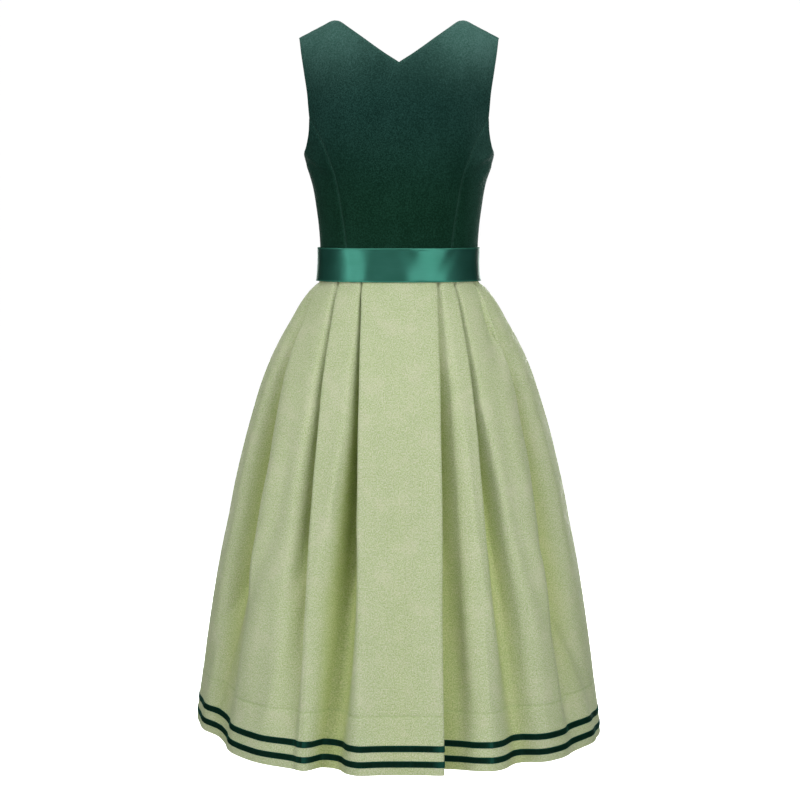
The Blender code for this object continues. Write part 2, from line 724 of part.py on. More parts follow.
def add_waist_band():
    """The ribbon starts at the centre front, goes once round and laps over its start."""
    front_radius = waist_surface(WAIST_SEAM_Z)[0]
    lap_angle = BAND_LAP / front_radius
    ramp_angle = BAND_LAP_RAMP / front_radius
    once_round = [2 * math.pi * c / BAND_COLUMNS for c in range(BAND_COLUMNS)]
    lapped = [2 * math.pi + lap_angle * c / BAND_LAP_COLUMNS for c in range(BAND_LAP_COLUMNS + 1)]
    outer = []
    inner = []
    for z in BAND_ROWS_Z:
        half_width, back, front = waist_surface(z)
        inner_row = []
        outer_row = []
        for travel in once_round + lapped:
            raised = eased((travel - 2 * math.pi + ramp_angle) / ramp_angle)
            lift = BAND_CLEARANCE + raised * (BAND_WALL + SEAM_GAP)
            angle = math.pi / 2 + travel
            forward = math.sin(angle)
            depth = front if forward > 0 else back
            normal = Vector((math.cos(angle) / half_width, forward / depth, 0.0)).normalized()
            point = Vector((half_width * math.cos(angle), depth * forward, z))
            inner_row.append((point + normal * lift) * MM)
            outer_row.append((point + normal * (lift + BAND_WALL)) * MM)
        inner.append(inner_row)
        outer.append(outer_row)
    mesh = wall_mesh("waist_band", outer, inner, closed=False)
    add_piece("waist_band", mesh, GREEN_SATIN)


def main():
    for leftover in list(bpy.data.objects):
        bpy.data.objects.remove(leftover, do_unlink=True)
    add_bodice_back()
    for side_name, side in (("left", -1), ("right", 1)):
        add_bodice_side("bodice_side_back_" + side_name, "back", side)
        add_bodice_side("bodice_side_front_" + side_name, "front", side)
        add_bodice_front("bodice_front_" + side_name, side)
    add_waist_band()
    add_skirt_half("skirt_back", "back")
    add_skirt_half("skirt_front", "front")
    add_hem_ribbon("hem_ribbon_lower", LOWER_RIBBON)
    add_hem_ribbon("hem_ribbon_upper", UPPER_RIBBON)


main()
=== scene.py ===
import math
from collections import namedtuple

import bmesh
import bpy
import numpy as np
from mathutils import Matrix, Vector


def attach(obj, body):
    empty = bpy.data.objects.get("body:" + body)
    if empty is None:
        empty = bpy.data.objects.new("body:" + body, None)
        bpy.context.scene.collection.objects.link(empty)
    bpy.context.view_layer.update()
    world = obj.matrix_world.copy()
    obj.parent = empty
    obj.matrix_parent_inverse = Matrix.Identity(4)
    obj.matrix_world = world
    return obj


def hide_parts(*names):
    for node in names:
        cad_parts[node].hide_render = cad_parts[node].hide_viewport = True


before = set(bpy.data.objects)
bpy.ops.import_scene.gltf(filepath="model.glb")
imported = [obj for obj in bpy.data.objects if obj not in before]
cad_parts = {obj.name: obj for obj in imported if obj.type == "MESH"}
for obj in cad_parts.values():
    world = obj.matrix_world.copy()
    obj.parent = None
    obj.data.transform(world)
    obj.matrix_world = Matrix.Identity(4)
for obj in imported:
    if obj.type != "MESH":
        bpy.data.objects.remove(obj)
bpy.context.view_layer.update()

# ==== The place it hangs in ===================================================================
# A pale studio floor well under the hem, as under a dress on a wearer, seen from behind the
# dress at the height of its hips.  A narrow soft box at the left and a broad one at the right
# light the cloth and streak the ribbon, a weak card between them fills the folds, one overhead
# brushes the shoulders, and the lamps on the far side light the dress's front.

MM = 0.001
AIM = Vector((0.0015, 0.0, -0.569))
CAMERA_DISTANCE = 3.25
CAMERA_ABOVE_LEVEL = math.radians(5.2)
SENSOR_WIDTH = 36.0
LENS_LENGTH = 94.35
FLOOR_Z = -1.46
FLOOR_RADIUS = 13.4
FLOOR_SIDES = 96
COVE_RADIUS = 13.5
COVE_MERIDIANS = 64
WHITE = (1.0, 1.0, 1.0, 1.0)
FLOOR_WHITE = (0.93, 0.93, 0.92, 1.0)
BLACK = (0.0, 0.0, 0.0, 1.0)
AIR_GLOW = 0.10

scene = bpy.context.scene
scene.view_settings.view_transform = "Standard"
camera_data = bpy.data.cameras.new("camera_behind")
camera_data.sensor_width = SENSOR_WIDTH
camera_data.lens = LENS_LENGTH
camera = bpy.data.objects.new("camera_behind", camera_data)
camera.location = AIM + CAMERA_DISTANCE * Vector(
    (0.0, -math.cos(CAMERA_ABOVE_LEVEL), math.sin(CAMERA_ABOVE_LEVEL)))
camera.rotation_euler = (AIM - camera.location).to_track_quat("-Z", "Y").to_euler()
scene.collection.objects.link(camera)
scene.camera = camera


def room_piece(name, build, paint_name, paint_values):
    """A piece of the room from the mesh being built, in a paint that glows white of itself."""
    mesh = bpy.data.meshes.new(name)
    build.to_mesh(mesh)
    build.free()
    paint = bpy.data.materials.new(paint_name)
    paint.use_nodes = True
    shader = paint.node_tree.nodes["Principled BSDF"]
    for socket_name, value in paint_values.items():
        shader.inputs[socket_name].default_value = value
    shader.inputs["Emission Color"].default_value = WHITE
    shader.inputs["Emission Strength"].default_value = 1.0
    mesh.materials.append(paint)
    piece = bpy.data.objects.new(name, mesh)
    piece.visible_diffuse = False
    piece.visible_glossy = False
    scene.collection.objects.link(piece)
    return piece


floor_build = bmesh.new()
bmesh.ops.create_circle(floor_build, cap_ends=True, radius=FLOOR_RADIUS, segments=FLOOR_SIDES)
bmesh.ops.translate(floor_build, verts=floor_build.verts, vec=(0.0, 0.0, FLOOR_Z))
floor = room_piece("studio_floor", floor_build, "pale_floor_paint", {
    "Base Color": FLOOR_WHITE, "Roughness": 0.9, "Specular IOR Level": 0.1})
cove_build = bmesh.new()
bmesh.ops.create_uvsphere(cove_build, u_segments=COVE_MERIDIANS, v_segments=COVE_MERIDIANS // 2,
                          radius=COVE_RADIUS)
bmesh.ops.reverse_faces(cove_build, faces=cove_build.faces)
cove = room_piece("studio_cove", cove_build, "white_cove", {"Base Color": BLACK})
cove.visible_shadow = False

studio_air = bpy.data.worlds.new("studio_air")
studio_air.use_nodes = True
air_sockets = studio_air.node_tree.nodes["Background"].inputs
air_sockets["Color"].default_value = WHITE
air_sockets["Strength"].default_value = AIR_GLOW
scene.world = studio_air

Lamp = namedtuple("Lamp", "name place aim width height watts")
LAMPS = [Lamp(*row) for row in (
    ("left_box", (-2.32, -1.75, -0.30), (0.0, 0.0, -0.55), 0.95, 3.6, 54.0),
    ("right_box", (1.60, -2.42, -0.30), (0.0, 0.0, -0.55), 2.1, 2.4, 60.0),
    ("front_card", (-0.9, -3.4, -0.2), (0.0, 0.0, -0.55), 1.6, 2.2, 10.0),
    ("top_lamp", (0.0, -0.75, 2.1), (0.0, 0.0, -0.1), 1.4, 0.9, 30.0),
    ("far_left_box", (-1.0, 3.3, -0.2), (0.0, 0.0, -0.5), 1.2, 2.2, 40.0),
    ("far_right_box", (1.3, 3.2, -0.2), (0.0, 0.0, -0.5), 1.2, 2.2, 66.0),
    ("far_lamp", (0.0, 2.6, 2.2), (0.0, 0.0, -0.4), 1.3, 1.1, 16.0),
)]
for lamp in LAMPS:
    lamp_data = bpy.data.lights.new(lamp.name, "AREA")
    lamp_data.shape = "RECTANGLE"
    lamp_data.size = lamp.width
    lamp_data.size_y = lamp.height
    lamp_data.energy = lamp.watts
    lamp_object = bpy.data.objects.new(lamp.name, lamp_data)
    lamp_object.location = lamp.place
    toward = Vector(lamp.aim) - Vector(lamp.place)
    lamp_object.rotation_euler = toward.to_track_quat("-Z", "Y").to_euler()
    scene.collection.objects.link(lamp_object)


# ==== Bodice: the back panel ==================================================================
# One panel of dark green cotton velvet, with no seam down its middle and a V at the neck.  Its
# neck and armhole edges are turned in over a cotton lining, and its long curved seams run from
# the waist to the armholes.

# The bodice's form, in millimetres: half-widths by height, depths behind and before the middle
# by how far a point is below the shoulder line, and that line's height by degrees round.
Width = namedtuple("Width", "z half_width")
BODICE_WIDTHS = [Width(*row) for row in (
    (-358, 120.8), (-345, 120.8), (-333, 121.2), (-303, 123.2), (-271, 127.2), (-244, 131.4),
    (-224, 136.2), (-207, 142.2), (-191, 146.0), (-172, 148.8), (-156, 151.0), (-137, 153.5),
    (-110, 156.0), (-63, 159.0), (-13, 162.0), (20, 165.0),
)]
Depth = namedtuple("Depth", "drop back front")
BODICE_DEPTHS = [Depth(*row) for row in (
    (0, 0.0, 0.0), (4, 17.0, 14.0), (10, 30.0, 25.0), (22, 47.0, 39.0), (42, 64.0, 54.0),
    (70, 79.0, 71.0), (100, 89.0, 88.0), (140, 97.0, 107.0), (190, 102.0, 121.0),
    (240, 100.5, 127.0), (290, 95.5, 117.0), (330, 91.6, 101.0), (349, 90.4, 95.0),
    (361, 90.0, 94.4), (376, 90.0, 94.2),
)]
Shoulder = namedtuple("Shoulder", "turn z")
SHOULDER_LINE = [Shoulder(*row) for row in (
    (0, 16.0), (24, 15.6), (38, 12.0), (44.5, 5.6), (51.5, -1.0), (60, -7.6), (70.8, -13.5),
    (90, -20.0),
)]
NECK_CENTRE_Z = 16.0
SHOULDER_SNAP = 2.0
FALL_HEIGHT = 376.0
LEVEL_FROM_Z = -60.0
LEVEL_BELOW_Z = -180.0
BUST_RISE = 9.0
BUST_TURN = 40.0
BUST_Z = -236.0
BUST_SPREAD_TURN = 19.0
BUST_SPREAD_Z = 48.0
WAIST_SEAM_Z = -358.0
BAND_TOP_Z = -333.0

# Where the panels' edges run.
Edge = namedtuple("Edge", "half_width z")
SHOULDER_SEAM = (Edge(153.0, -13.5), Edge(126.0, -0.9), Edge(98.5, 12.0))
BACK_NECK = (
    Edge(98.5, 12.0), Edge(78.0, 1.5), Edge(48.0, -21.5), Edge(21.5, -41.2), Edge(0.0, -55.4),
)
BACK_PRINCESS_IN_BAND = (Edge(77.5, -358.0), Edge(79.8, -333.0))
BACK_PRINCESS = (
    Edge(79.8, -333.0), Edge(86.0, -287.0), Edge(91.7, -252.0), Edge(99.3, -218.0),
    Edge(110.5, -188.0), Edge(123.5, -160.0), Edge(136.4, -137.0),
)
BACK_ARMHOLE_TOP = (
    Edge(136.4, -137.0), Edge(138.8, -110.0), Edge(145.6, -63.0), Edge(150.0, -34.0),
    Edge(153.0, -13.5),
)

# Cells along each stretch of a panel's edges.
BAND_ROWS = 6
PRINCESS_ROWS = 58
ARMHOLE_ROWS = 40
SHOULDER_COLUMNS = 18
NECK_COLUMNS = 44
SIDE_COLUMNS = 26

# The power of a row's share of the way up by which it bends toward the panel's top edge.
TOP_PULL = 5.0

# How the cloth rolls in at its seams and turned edges and rises over the facing's edge, the
# painted highlight laid along them, and how its creases die away toward the rim and the ribbon.
VELVET_THICKNESS = 1.7
SEAM_ROLL = 1.0
SEAM_ROLL_REACH = 2.3
EDGE_ROLL = 0.9
EDGE_ROLL_REACH = 2.0
FACING_WIDTH = 22.0
FACING_RIDGE = 0.22
FACING_RIDGE_REACH = 3.0
SEAM_PAINTED_HIGHLIGHT = 0.36
PAINTED_HIGHLIGHT_INSET = 0.8
CREASES_FADE_IN = 6.0
CREASES_LEFT_AT_EDGE = 0.25
RIBBON_FLATTENS_TO = 9.0
INSIDE_RISE = 0.4
VELVET_RIM = 0.35
TURN_STEP = 0.25
FALL_STEP = 0.002


def through(rows, column):
    """Monotone smooth curve through a table's column, by its first column, for arrays."""
    xs = np.array([row[0] for row in rows], float)
    ys = np.array([getattr(row, column) for row in rows], float)
    return through_points(xs, ys)


def through_points(xs, ys):
    """Monotone smooth curve through given points, level beyond its two ends."""
    steps = np.diff(xs)
    slopes = np.diff(ys) / steps
    tangents = np.zeros(len(xs))
    tangents[0] = slopes[0]
    tangents[-1] = slopes[-1]
    for i in range(1, len(xs) - 1):
        if slopes[i - 1] * slopes[i] > 0:
            before = 2 * steps[i] + steps[i - 1]
            after = steps[i] + 2 * steps[i - 1]
            tangents[i] = (before + after) / (before / slopes[i - 1] + after / slopes[i])

    def value_at(x):
        x = np.clip(x, xs[0], xs[-1])
        cell = np.clip(np.searchsorted(xs, x) - 1, 0, len(xs) - 2)
        share = (x - xs[cell]) / steps[cell]
        rest = 1 - share
        low = ys[cell] * (1 + 2 * share) * rest ** 2
        low = low + tangents[cell] * steps[cell] * share * rest ** 2
        high = ys[cell + 1] * (3 - 2 * share) * share ** 2
        return low + high - tangents[cell + 1] * steps[cell] * rest * share ** 2

    return value_at


def swell(off):
    """1 in the middle, dying away to both sides; off is the distance as a share of the reach."""
    return np.exp(-off ** 2)


def eased(share):
    """A share from 0 to 1, drawn out to start and end level."""
    share = np.clip(share, 0.0, 1.0)
    return share * share * (3 - 2 * share)


shoulder_height = through(SHOULDER_LINE, "z")
bodice_half_width = through(BODICE_WIDTHS, "half_width")
ROOT_DROPS = np.sqrt([row.drop for row in BODICE_DEPTHS])
DEPTH_BY_ROOT_DROP = {
    face: through_points(ROOT_DROPS, np.array([getattr(row, face) for row in BODICE_DEPTHS]))
    for face in ("back", "front")
}


def fall_at(turn, z):
    """How far below the shoulder line a height is, as the root of its share of the bodice."""
    drop = shoulder_height(np.abs(turn)) - z
    return np.where(drop > SHOULDER_SNAP, np.sqrt(np.maximum(drop, 0.0) / FALL_HEIGHT), 0.0)


def bodice_point(face, turn, fall):
    """Points of the bodice's surface by turn round the body and fall from the shoulder."""
    depth_at = DEPTH_BY_ROOT_DROP[face]
    own_drop = FALL_HEIGHT * fall * np.abs(fall)
    z = shoulder_height(np.abs(turn)) - own_drop
    levelled = eased((LEVEL_FROM_Z - z) / (LEVEL_FROM_Z - LEVEL_BELOW_Z))
    drop = own_drop + (NECK_CENTRE_Z - z - own_drop) * levelled
    depth = depth_at(np.sqrt(np.maximum(drop, 0.0)))
    depth = np.where(own_drop < 0, -depth_at(np.sqrt(np.maximum(-own_drop, 0.0))), depth)
    width = bodice_half_width(z)
    if face == "front":
        off_turn = (np.abs(turn) - BUST_TURN) / BUST_SPREAD_TURN
        off_z = (z - BUST_Z) / BUST_SPREAD_Z
        rise = BUST_RISE * np.exp(-off_turn ** 2 - off_z ** 2)
        width = width * (1 + rise / width)
        depth = np.where(depth > rise, depth + rise, depth)
    side = 1 if face == "front" else -1
    angle = np.radians(turn)
    return np.stack((width * np.sin(angle), side * depth * np.cos(angle), z), axis=-1)


def bodice_normal(face, turn, fall):
    """Unit directions out of the bodice's surface."""
    across = bodice_point(face, turn + TURN_STEP, fall)
    across = across - bodice_point(face, turn - TURN_STEP, fall)
    down = bodice_point(face, turn, fall + FALL_STEP)
    down = down - bodice_point(face, turn, fall - FALL_STEP)
    normal = np.cross(across, down) if face == "front" else np.cross(down, across)
    return normal / np.linalg.norm(normal, axis=-1, keepdims=True)


def length_along(points):
    """Run of each point along the line through them, from 0 at the first."""
    steps = np.linalg.norm(np.diff(points, axis=0), axis=1)
    return np.concatenate(([0.0], np.cumsum(steps)))


def edge_places(face, edge, side, cells):
    """Evenly spaced places (turn, fall) along an edge of the bodice."""
    half_widths = np.array([row.half_width for row in edge])
    heights = np.array([row.z for row in edge])
    turns = side * np.degrees(np.arcsin(np.minimum(half_widths / bodice_half_width(heights), 1)))
    falls = fall_at(turns, heights)
    run = length_along(bodice_point(face, turns, falls))
    lengths = np.linspace(0, run[-1], cells + 1)
    return np.stack((through_points(run, turns)(lengths), through_points(run, falls)(lengths)), 1)


def upright_places(turn, high_z, cells):
    """Places up a line of constant turn, with their own cells under the waist ribbon."""
    in_band = np.linspace(WAIST_SEAM_Z, BAND_TOP_Z, BAND_ROWS + 1)[:-1]
    heights = np.concatenate((in_band, np.linspace(BAND_TOP_Z, high_z, cells + 1)))
    turns = np.full(len(heights), float(turn))
    return np.stack((turns, fall_at(turns, heights)), 1)


def waist_places(turns):
    """Places along the waist seam, at given turns."""
    return np.stack((turns, fall_at(turns, np.full(len(turns), WAIST_SEAM_Z))), 1)


def joined(*stretches):
    """Stretches of an edge laid end to end, each starting where the one before ends."""
    return np.concatenate([stretches[0]] + [stretch[1:] for stretch in stretches[1:]])


def shares_along(face, places):
    """Share of an edge's length at each of its places."""
    run = length_along(bodice_point(face, places[:, 0], places[:, 1]))
    return run / run[-1]


def patch_places(bottom, top, left, right, across, up):
    """Places of a panel filled in between its four edges."""
    pull = (up ** TOP_PULL)[:, None, None]
    reach = across[None, :, None]
    level = bottom[None] * (1 - pull) + top[None] * pull
    upright = left[:, None] * (1 - reach) + right[:, None] * reach
    low = bottom[0] * (1 - reach) + bottom[-1] * reach
    high = top[0] * (1 - reach) + top[-1] * reach
    return level + upright - (low * (1 - pull) + high * pull)


def from_left(points):
    """Run of each point of a grid along its row, from 0 at the row's left end."""
    steps = np.linalg.norm(np.diff(points, axis=1), axis=2)
    return np.concatenate((np.zeros((len(points), 1)), np.cumsum(steps, axis=1)), axis=1)


def from_edges(points):
    """Distance of each point of a grid from its left, right, bottom and top edge."""
    left = from_left(points)
    bottom = from_left(points.swapaxes(0, 1)).T
    return left, left[:, -1:] - left, bottom, bottom[-1:] - bottom


# Drag lines and soft hollows of the cloth, drawn on the panels by half-width and height: where
# each starts, bends and ends, how broad it is and how far it stands out of the cloth.
Drag = namedtuple("Drag", "start middle end breadth rise")
BACK_DRAGS = [Drag(*row) for row in (
    ((-142, -186), (-131, -203), (-109, -214), 4.5, 2.0),
    ((-143, -197), (-128, -216), (-104, -232), 5.5, -1.7),
    ((-137, -214), (-124, -232), (-112, -262), 6.5, 1.4),
    ((142, -188), (128, -201), (112, -207), 4.2, 2.2),
    ((143, -198), (129, -213), (113, -222), 4.8, -1.9),
    ((139, -211), (127, -226), (109, -243), 6.0, 1.6),
    ((-118, -128), (-92, -158), (-58, -176), 13.0, -0.9),
    ((121, -124), (90, -150), (49, -163), 14.0, -0.8),
    ((-97, -88), (-60, -118), (-16, -128), 16.0, 0.8),
    ((101, -84), (55, -116), (12, -140), 15.0, 0.7),
    ((-30, -60), (-12, -118), (-22, -190), 12.0, -0.7),
    ((18, -66), (24, -148), (10, -215), 14.0, -0.6),
    ((-74, -330), (-40, -317), (-6, -322), 7.0, 0.8),
    ((12, -326), (44, -314), (76, -327), 8.0, 0.7),
    ((-66, -308), (-20, -296), (34, -302), 9.0, -0.7),
    ((-110, -324), (-96, -316), (-84, -318), 5.0, 0.8),
    ((112, -322), (99, -311), (86, -309), 5.0, 0.7),
)]


# Steps along a drag line, how far into its swell it starts and ends, and how blunt the swell is.
DRAG_STEPS = 15
DRAG_START = 0.06
DRAG_LENGTH = 0.88
DRAG_BLUNTNESS = 0.8


def drag_relief(drags, half_widths, heights):
    """Rise of the cloth, in millimetres, that a table of drag lines gives to its points."""
    relief = np.zeros_like(half_widths)
    for drag in drags:
        shares = np.linspace(0, 1, DRAG_STEPS)
        start, middle, end = (np.array(place, float) for place in drag[:3])
        path = np.outer((1 - shares) ** 2, start) + np.outer(shares ** 2, end)
        path += np.outer(2 * shares * (1 - shares), middle)
        strength = np.sin(np.pi * (DRAG_START + DRAG_LENGTH * shares)) ** DRAG_BLUNTNESS
        best = np.zeros_like(half_widths)
        for (x, z), strong in zip(path, strength):
            off = np.hypot(half_widths - x, heights - z) / drag.breadth
            best = np.maximum(best, strong * swell(off))
        relief += drag.rise * best
    return relief


def cloth_shell(name, outer, inner, rim_bulge, materials, shares, flat_run, face_out):
    """A closed shell between two grids, its rim rounded, with a UV map in metres of cloth.

    shares are attributes of the cloth, each 0 to 1 at every point: one is 1 at a turned, sewn or
    woven edge, where the cloth is paler, on the velvet and satin as a painted highlight, and it
    also carries painted shade along the skirt's hem stitches and painted sheen where a hem ribbon
    bends; the other is 1 deep inside a fold, where shade is painted.
    """
    rows, columns = outer.shape[:2]
    mesh = bpy.data.meshes.new(name)
    middle = (outer + inner) / 2
    loop = [(0, c) for c in range(columns)]
    loop += [(r, columns - 1) for r in range(1, rows)]
    loop += [(rows - 1, c) for c in range(columns - 2, -1, -1)]
    loop += [(r, 0) for r in range(rows - 2, 0, -1)]
    inward = [(min(max(r, 1), rows - 2), min(max(c, 1), columns - 2)) for r, c in loop]
    rim = []
    for (r, c), (deep_r, deep_c) in zip(loop, inward):
        away = middle[r, c] - middle[deep_r, deep_c]
        rim.append(middle[r, c] + away / max(np.linalg.norm(away), 1e-9) * rim_bulge)
    points = np.concatenate((outer.reshape(-1, 3), inner.reshape(-1, 3), np.array(rim)))
    grid = np.arange(rows * columns).reshape(rows, columns)
    quads = np.stack((grid[:-1, :-1], grid[:-1, 1:], grid[1:, 1:], grid[1:, :-1]), -1)
    out_faces = quads.reshape(-1, 4)
    in_faces = out_faces[:, ::-1] + rows * columns
    rim_first = 2 * rows * columns
    edge_faces = []
    for i, (r, c) in enumerate(loop):
        j = (i + 1) % len(loop)
        here = grid[r, c]
        there = grid[loop[j]]
        edge_faces.append((there, here, rim_first + i, rim_first + j))
        edge_faces.append((rim_first + j, rim_first + i,
                           here + rows * columns, there + rows * columns))
    faces = np.concatenate((out_faces, in_faces, np.array(edge_faces)))
    if not face_out:
        faces = faces[:, ::-1]
    mesh.from_pydata((points * MM).tolist(), [], faces.tolist())
    for material in materials:
        mesh.materials.append(material)
    lining = np.zeros(len(faces), np.int32)
    lining[len(out_faces):len(out_faces) + len(in_faces)] = len(materials) - 1
    mesh.polygons.foreach_set("material_index", lining)
    run = np.concatenate((flat_run.reshape(-1, 2), flat_run.reshape(-1, 2),
                          np.array([flat_run[place] for place in loop])))
    corner_verts = faces.reshape(-1)
    uv_map = mesh.uv_layers.new(name="cloth")
    uv_map.data.foreach_set("uv", (run[corner_verts] * MM).reshape(-1))
    for share_name, share in shares.items():
        values = np.concatenate((share.reshape(-1), share.reshape(-1),
                                 np.array([share[place] for place in loop])))
        kept = mesh.attributes.new(share_name, "FLOAT", "POINT")
        kept.data.foreach_set("value", values.astype(np.float32))
    mesh.shade_smooth()
    mesh.validate()
    piece = bpy.data.objects.new(name, mesh)
    scene.collection.objects.link(piece)
    return piece


def bodice_panel(name, node, face, places, seams, free_edges, drags, materials):
    """One sewn panel.

    seams and free_edges give, for each edge, the cells that are sewn or turned in, so that the
    cloth rolls there and a painted highlight runs along it.
    """
    turn = places[..., 0]
    fall = places[..., 1]
    base = bodice_point(face, turn, fall)
    normal = bodice_normal(face, turn, fall)
    left, right, bottom, top = from_edges(base)
    reach = {"left": left, "right": right, "top": top}
    rows, columns = turn.shape
    lift = np.zeros((rows, columns))
    edge_and_painted_light_share = np.zeros((rows, columns))
    for edges, roll, spread in ((seams, SEAM_ROLL, SEAM_ROLL_REACH),
                                (free_edges, EDGE_ROLL, EDGE_ROLL_REACH)):
        for edge, (first, last) in edges:
            along = np.zeros((rows, columns))
            if edge == "top":
                along[:, first:last + 1] = 1.0
            else:
                along[first:last + 1, :] = 1.0
            near = swell(reach[edge] / spread) * along
            lift = np.minimum(lift, -roll * near)
            # A painted highlight along the seams and turned edges, fainter on the seams.
            highlight_strength = SEAM_PAINTED_HIGHLIGHT if roll == SEAM_ROLL else 1.0
            painted_highlight = highlight_strength * swell(reach[edge] - PAINTED_HIGHLIGHT_INSET) * along
            edge_and_painted_light_share = np.maximum(edge_and_painted_light_share, painted_highlight)
            if roll == EDGE_ROLL:
                facing = swell((reach[edge] - FACING_WIDTH) / FACING_RIDGE_REACH) * along
                lift = lift + FACING_RIDGE * facing
    from_rim = np.minimum(np.minimum(left, right), np.minimum(top, bottom))
    fade = eased(from_rim / CREASES_FADE_IN + CREASES_LEFT_AT_EDGE)
    lift = lift + drag_relief(drags, base[..., 0], base[..., 2]) * fade
    lift = lift * eased((base[..., 2] - BAND_TOP_Z) / RIBBON_FLATTENS_TO)
    outer = base + normal * lift[..., None]
    inner = base + normal * (np.minimum(lift, INSIDE_RISE) - VELVET_THICKNESS)[..., None]
    flat_run = np.stack((left - left[:, columns // 2][:, None], bottom), -1)
    piece = cloth_shell(name, outer, inner, VELVET_RIM, materials, {"edges_and_painted_light": edge_and_painted_light_share},
                        flat_run, face_out=face_points_out(base, normal))
    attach(piece, "root")
    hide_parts(node)
    return piece


def face_points_out(base, normal):
    """True where a grid's own winding already faces along the outward normals."""
    rows, columns = base.shape[0] // 2, base.shape[1] // 2
    across = base[rows, columns + 1] - base[rows, columns]
    up = base[rows + 1, columns] - base[rows, columns]
    return float(np.dot(np.cross(across, up), normal[rows, columns])) > 0


class Yarn:
    """A socket of a cloth's node tree.  Sums and products of yarns add the Math nodes."""

    def __init__(self, tree, socket):
        self.tree = tree
        self.socket = socket

    def node(self, kind, settings, sockets, out=0):
        """Any node: its settings are set first, then the values or links of its sockets."""
        made = self.tree.nodes.new(kind)
        for setting, value in settings.items():
            setattr(made, setting, value)
        for name, value in sockets.items():
            if isinstance(value, Yarn):
                self.tree.links.new(value.socket, made.inputs[name])
            else:
                made.inputs[name].default_value = value
        return Yarn(self.tree, made.outputs[out])

    def parts(self):
        """The three parts of this vector."""
        split = self.node("ShaderNodeSeparateXYZ", {}, {"Vector": self})
        return [Yarn(self.tree, output) for output in split.socket.node.outputs]

    def share(self, name):
        """One of the cloth's own attributes, such as its edges with painted light or its painted
        fold shade.
        """
        return self.node("ShaderNodeAttribute", {"attribute_name": name}, {}, out=2)

    def maths(self, operation, *others):
        """A Math node on this yarn and any others."""
        values = {0: self, **{i + 1: other for i, other in enumerate(others)}}
        return self.node("ShaderNodeMath", {"operation": operation}, values)

    def __add__(self, other):
        return self.maths("ADD", other)

    __radd__ = __add__

    def __mul__(self, other):
        return self.maths("MULTIPLY", other)

    __rmul__ = __mul__

    def __sub__(self, other):
        return self.maths("SUBTRACT", other)

    def __rsub__(self, other):
        return (self * -1.0) + other

    def __truediv__(self, other):
        return self.maths("DIVIDE", other)

    def __pow__(self, other):
        return self.maths("POWER", other)

    def most(self, other):
        return self.maths("MAXIMUM", other)

    def waves(self, pitch):
        """From -1 to 1 and back, once in every pitch, in metres."""
        return (self * (2 * math.pi / pitch)).maths("SINE")

    def ribs(self, pitch):
        """From 0 to 1 and back, once in every pitch, in metres."""
        return self.waves(pitch) * 0.5 + 0.5

    def size(self):
        return self.maths("ABSOLUTE")

    def part_of_one(self):
        return self.maths("FRACT")

    def rising(self, low, high):
        """0 below low and 1 above high, smooth between."""
        sockets = {"Value": self, "From Min": low, "From Max": high}
        return self.node("ShaderNodeMapRange", {"interpolation_type": "SMOOTHSTEP"}, sockets)

    def noise(self, scale, detail=2.0, roughness=0.5, stretch=(1.0, 1.0, 1.0)):
        """Noise on this vector, the scale being features to the metre."""
        place = self.node("ShaderNodeMapping", {}, {"Vector": self, "Scale": stretch})
        sockets = {"Vector": place, "Scale": scale, "Detail": detail, "Roughness": roughness}
        return self.node("ShaderNodeTexNoise", {}, sockets)

    def dyed(self, low, high, blend="MIX"):
        """Colour from low to high by this amount; either is a dye or a colour already mixed."""
        low, high = (c if isinstance(c, Yarn) else (*c, 1.0) for c in (low, high))
        settings = {"data_type": "RGBA", "blend_type": blend}
        return self.node("ShaderNodeMix", settings, {"Factor": self, 6: low, 7: high}, out=2)


def begin_cloth(name):
    """A new cloth: its material, and yarns for its place and for its flat run."""
    material = bpy.data.materials.new(name)
    material.use_nodes = True
    tree = material.node_tree
    coordinates = tree.nodes.new("ShaderNodeTexCoord")
    return (material, Yarn(tree, coordinates.outputs["Object"]),
            Yarn(tree, coordinates.outputs["UV"]))


def finish_cloth(material, colour, roughness, height, bump_metres, constants):
    """The cloth with its shader wired; what is the same all over is set on the sockets."""
    tree = material.node_tree
    shader = tree.nodes["Principled BSDF"]
    for name, value in constants.items():
        shader.inputs[name].default_value = value
    bump = colour.node("ShaderNodeBump", {}, {"Strength": 1.0, "Distance": bump_metres,
                                              "Height": height})
    for name, yarn in (("Base Color", colour), ("Roughness", roughness), ("Normal", bump)):
        tree.links.new(yarn.socket, shader.inputs[name])
    return material


VELVET_DEEP = (0.0012, 0.0185, 0.0085)
VELVET_PALE = (0.0065, 0.0370, 0.0215)
VELVET_PAINTED_UPPER_SHEEN_DEEP = (0.0026, 0.0205, 0.0155)
VELVET_PAINTED_UPPER_SHEEN_PALE = (0.0105, 0.0430, 0.0350)
VELVET_PAINTED_SHOULDER_SHEEN_DEEP = (0.0420, 0.1150, 0.0930)
VELVET_PAINTED_SHOULDER_SHEEN_PALE = (0.0850, 0.1850, 0.1620)
VELVET_PAINTED_EDGE_HIGHLIGHT = (0.0600, 0.1550, 0.1200)

# In metres, from where to where painted sheen lightens the velvet: by height, from the bodice's
# dark lower part to its lighter upper part and its lightest shoulders; by distance from the
# middle, onto the shoulders; and from left to right, across the two straps and out to the two
# sides, the right lighter than the left.
TO_PAINTED_UPPER_SHEEN = (-0.29, -0.11)
TO_PAINTED_SHOULDER_SHEEN = (-0.16, 0.015)
UNDER_SHOULDERS = (-0.10, -0.15)
ONTO_SHOULDER = (0.02, 0.11)
ACROSS_STRAPS = (-0.13, 0.02)
ONTO_RIGHT_SIDE = (0.092, 0.138)
ONTO_LEFT_SIDE = (-0.100, -0.148)


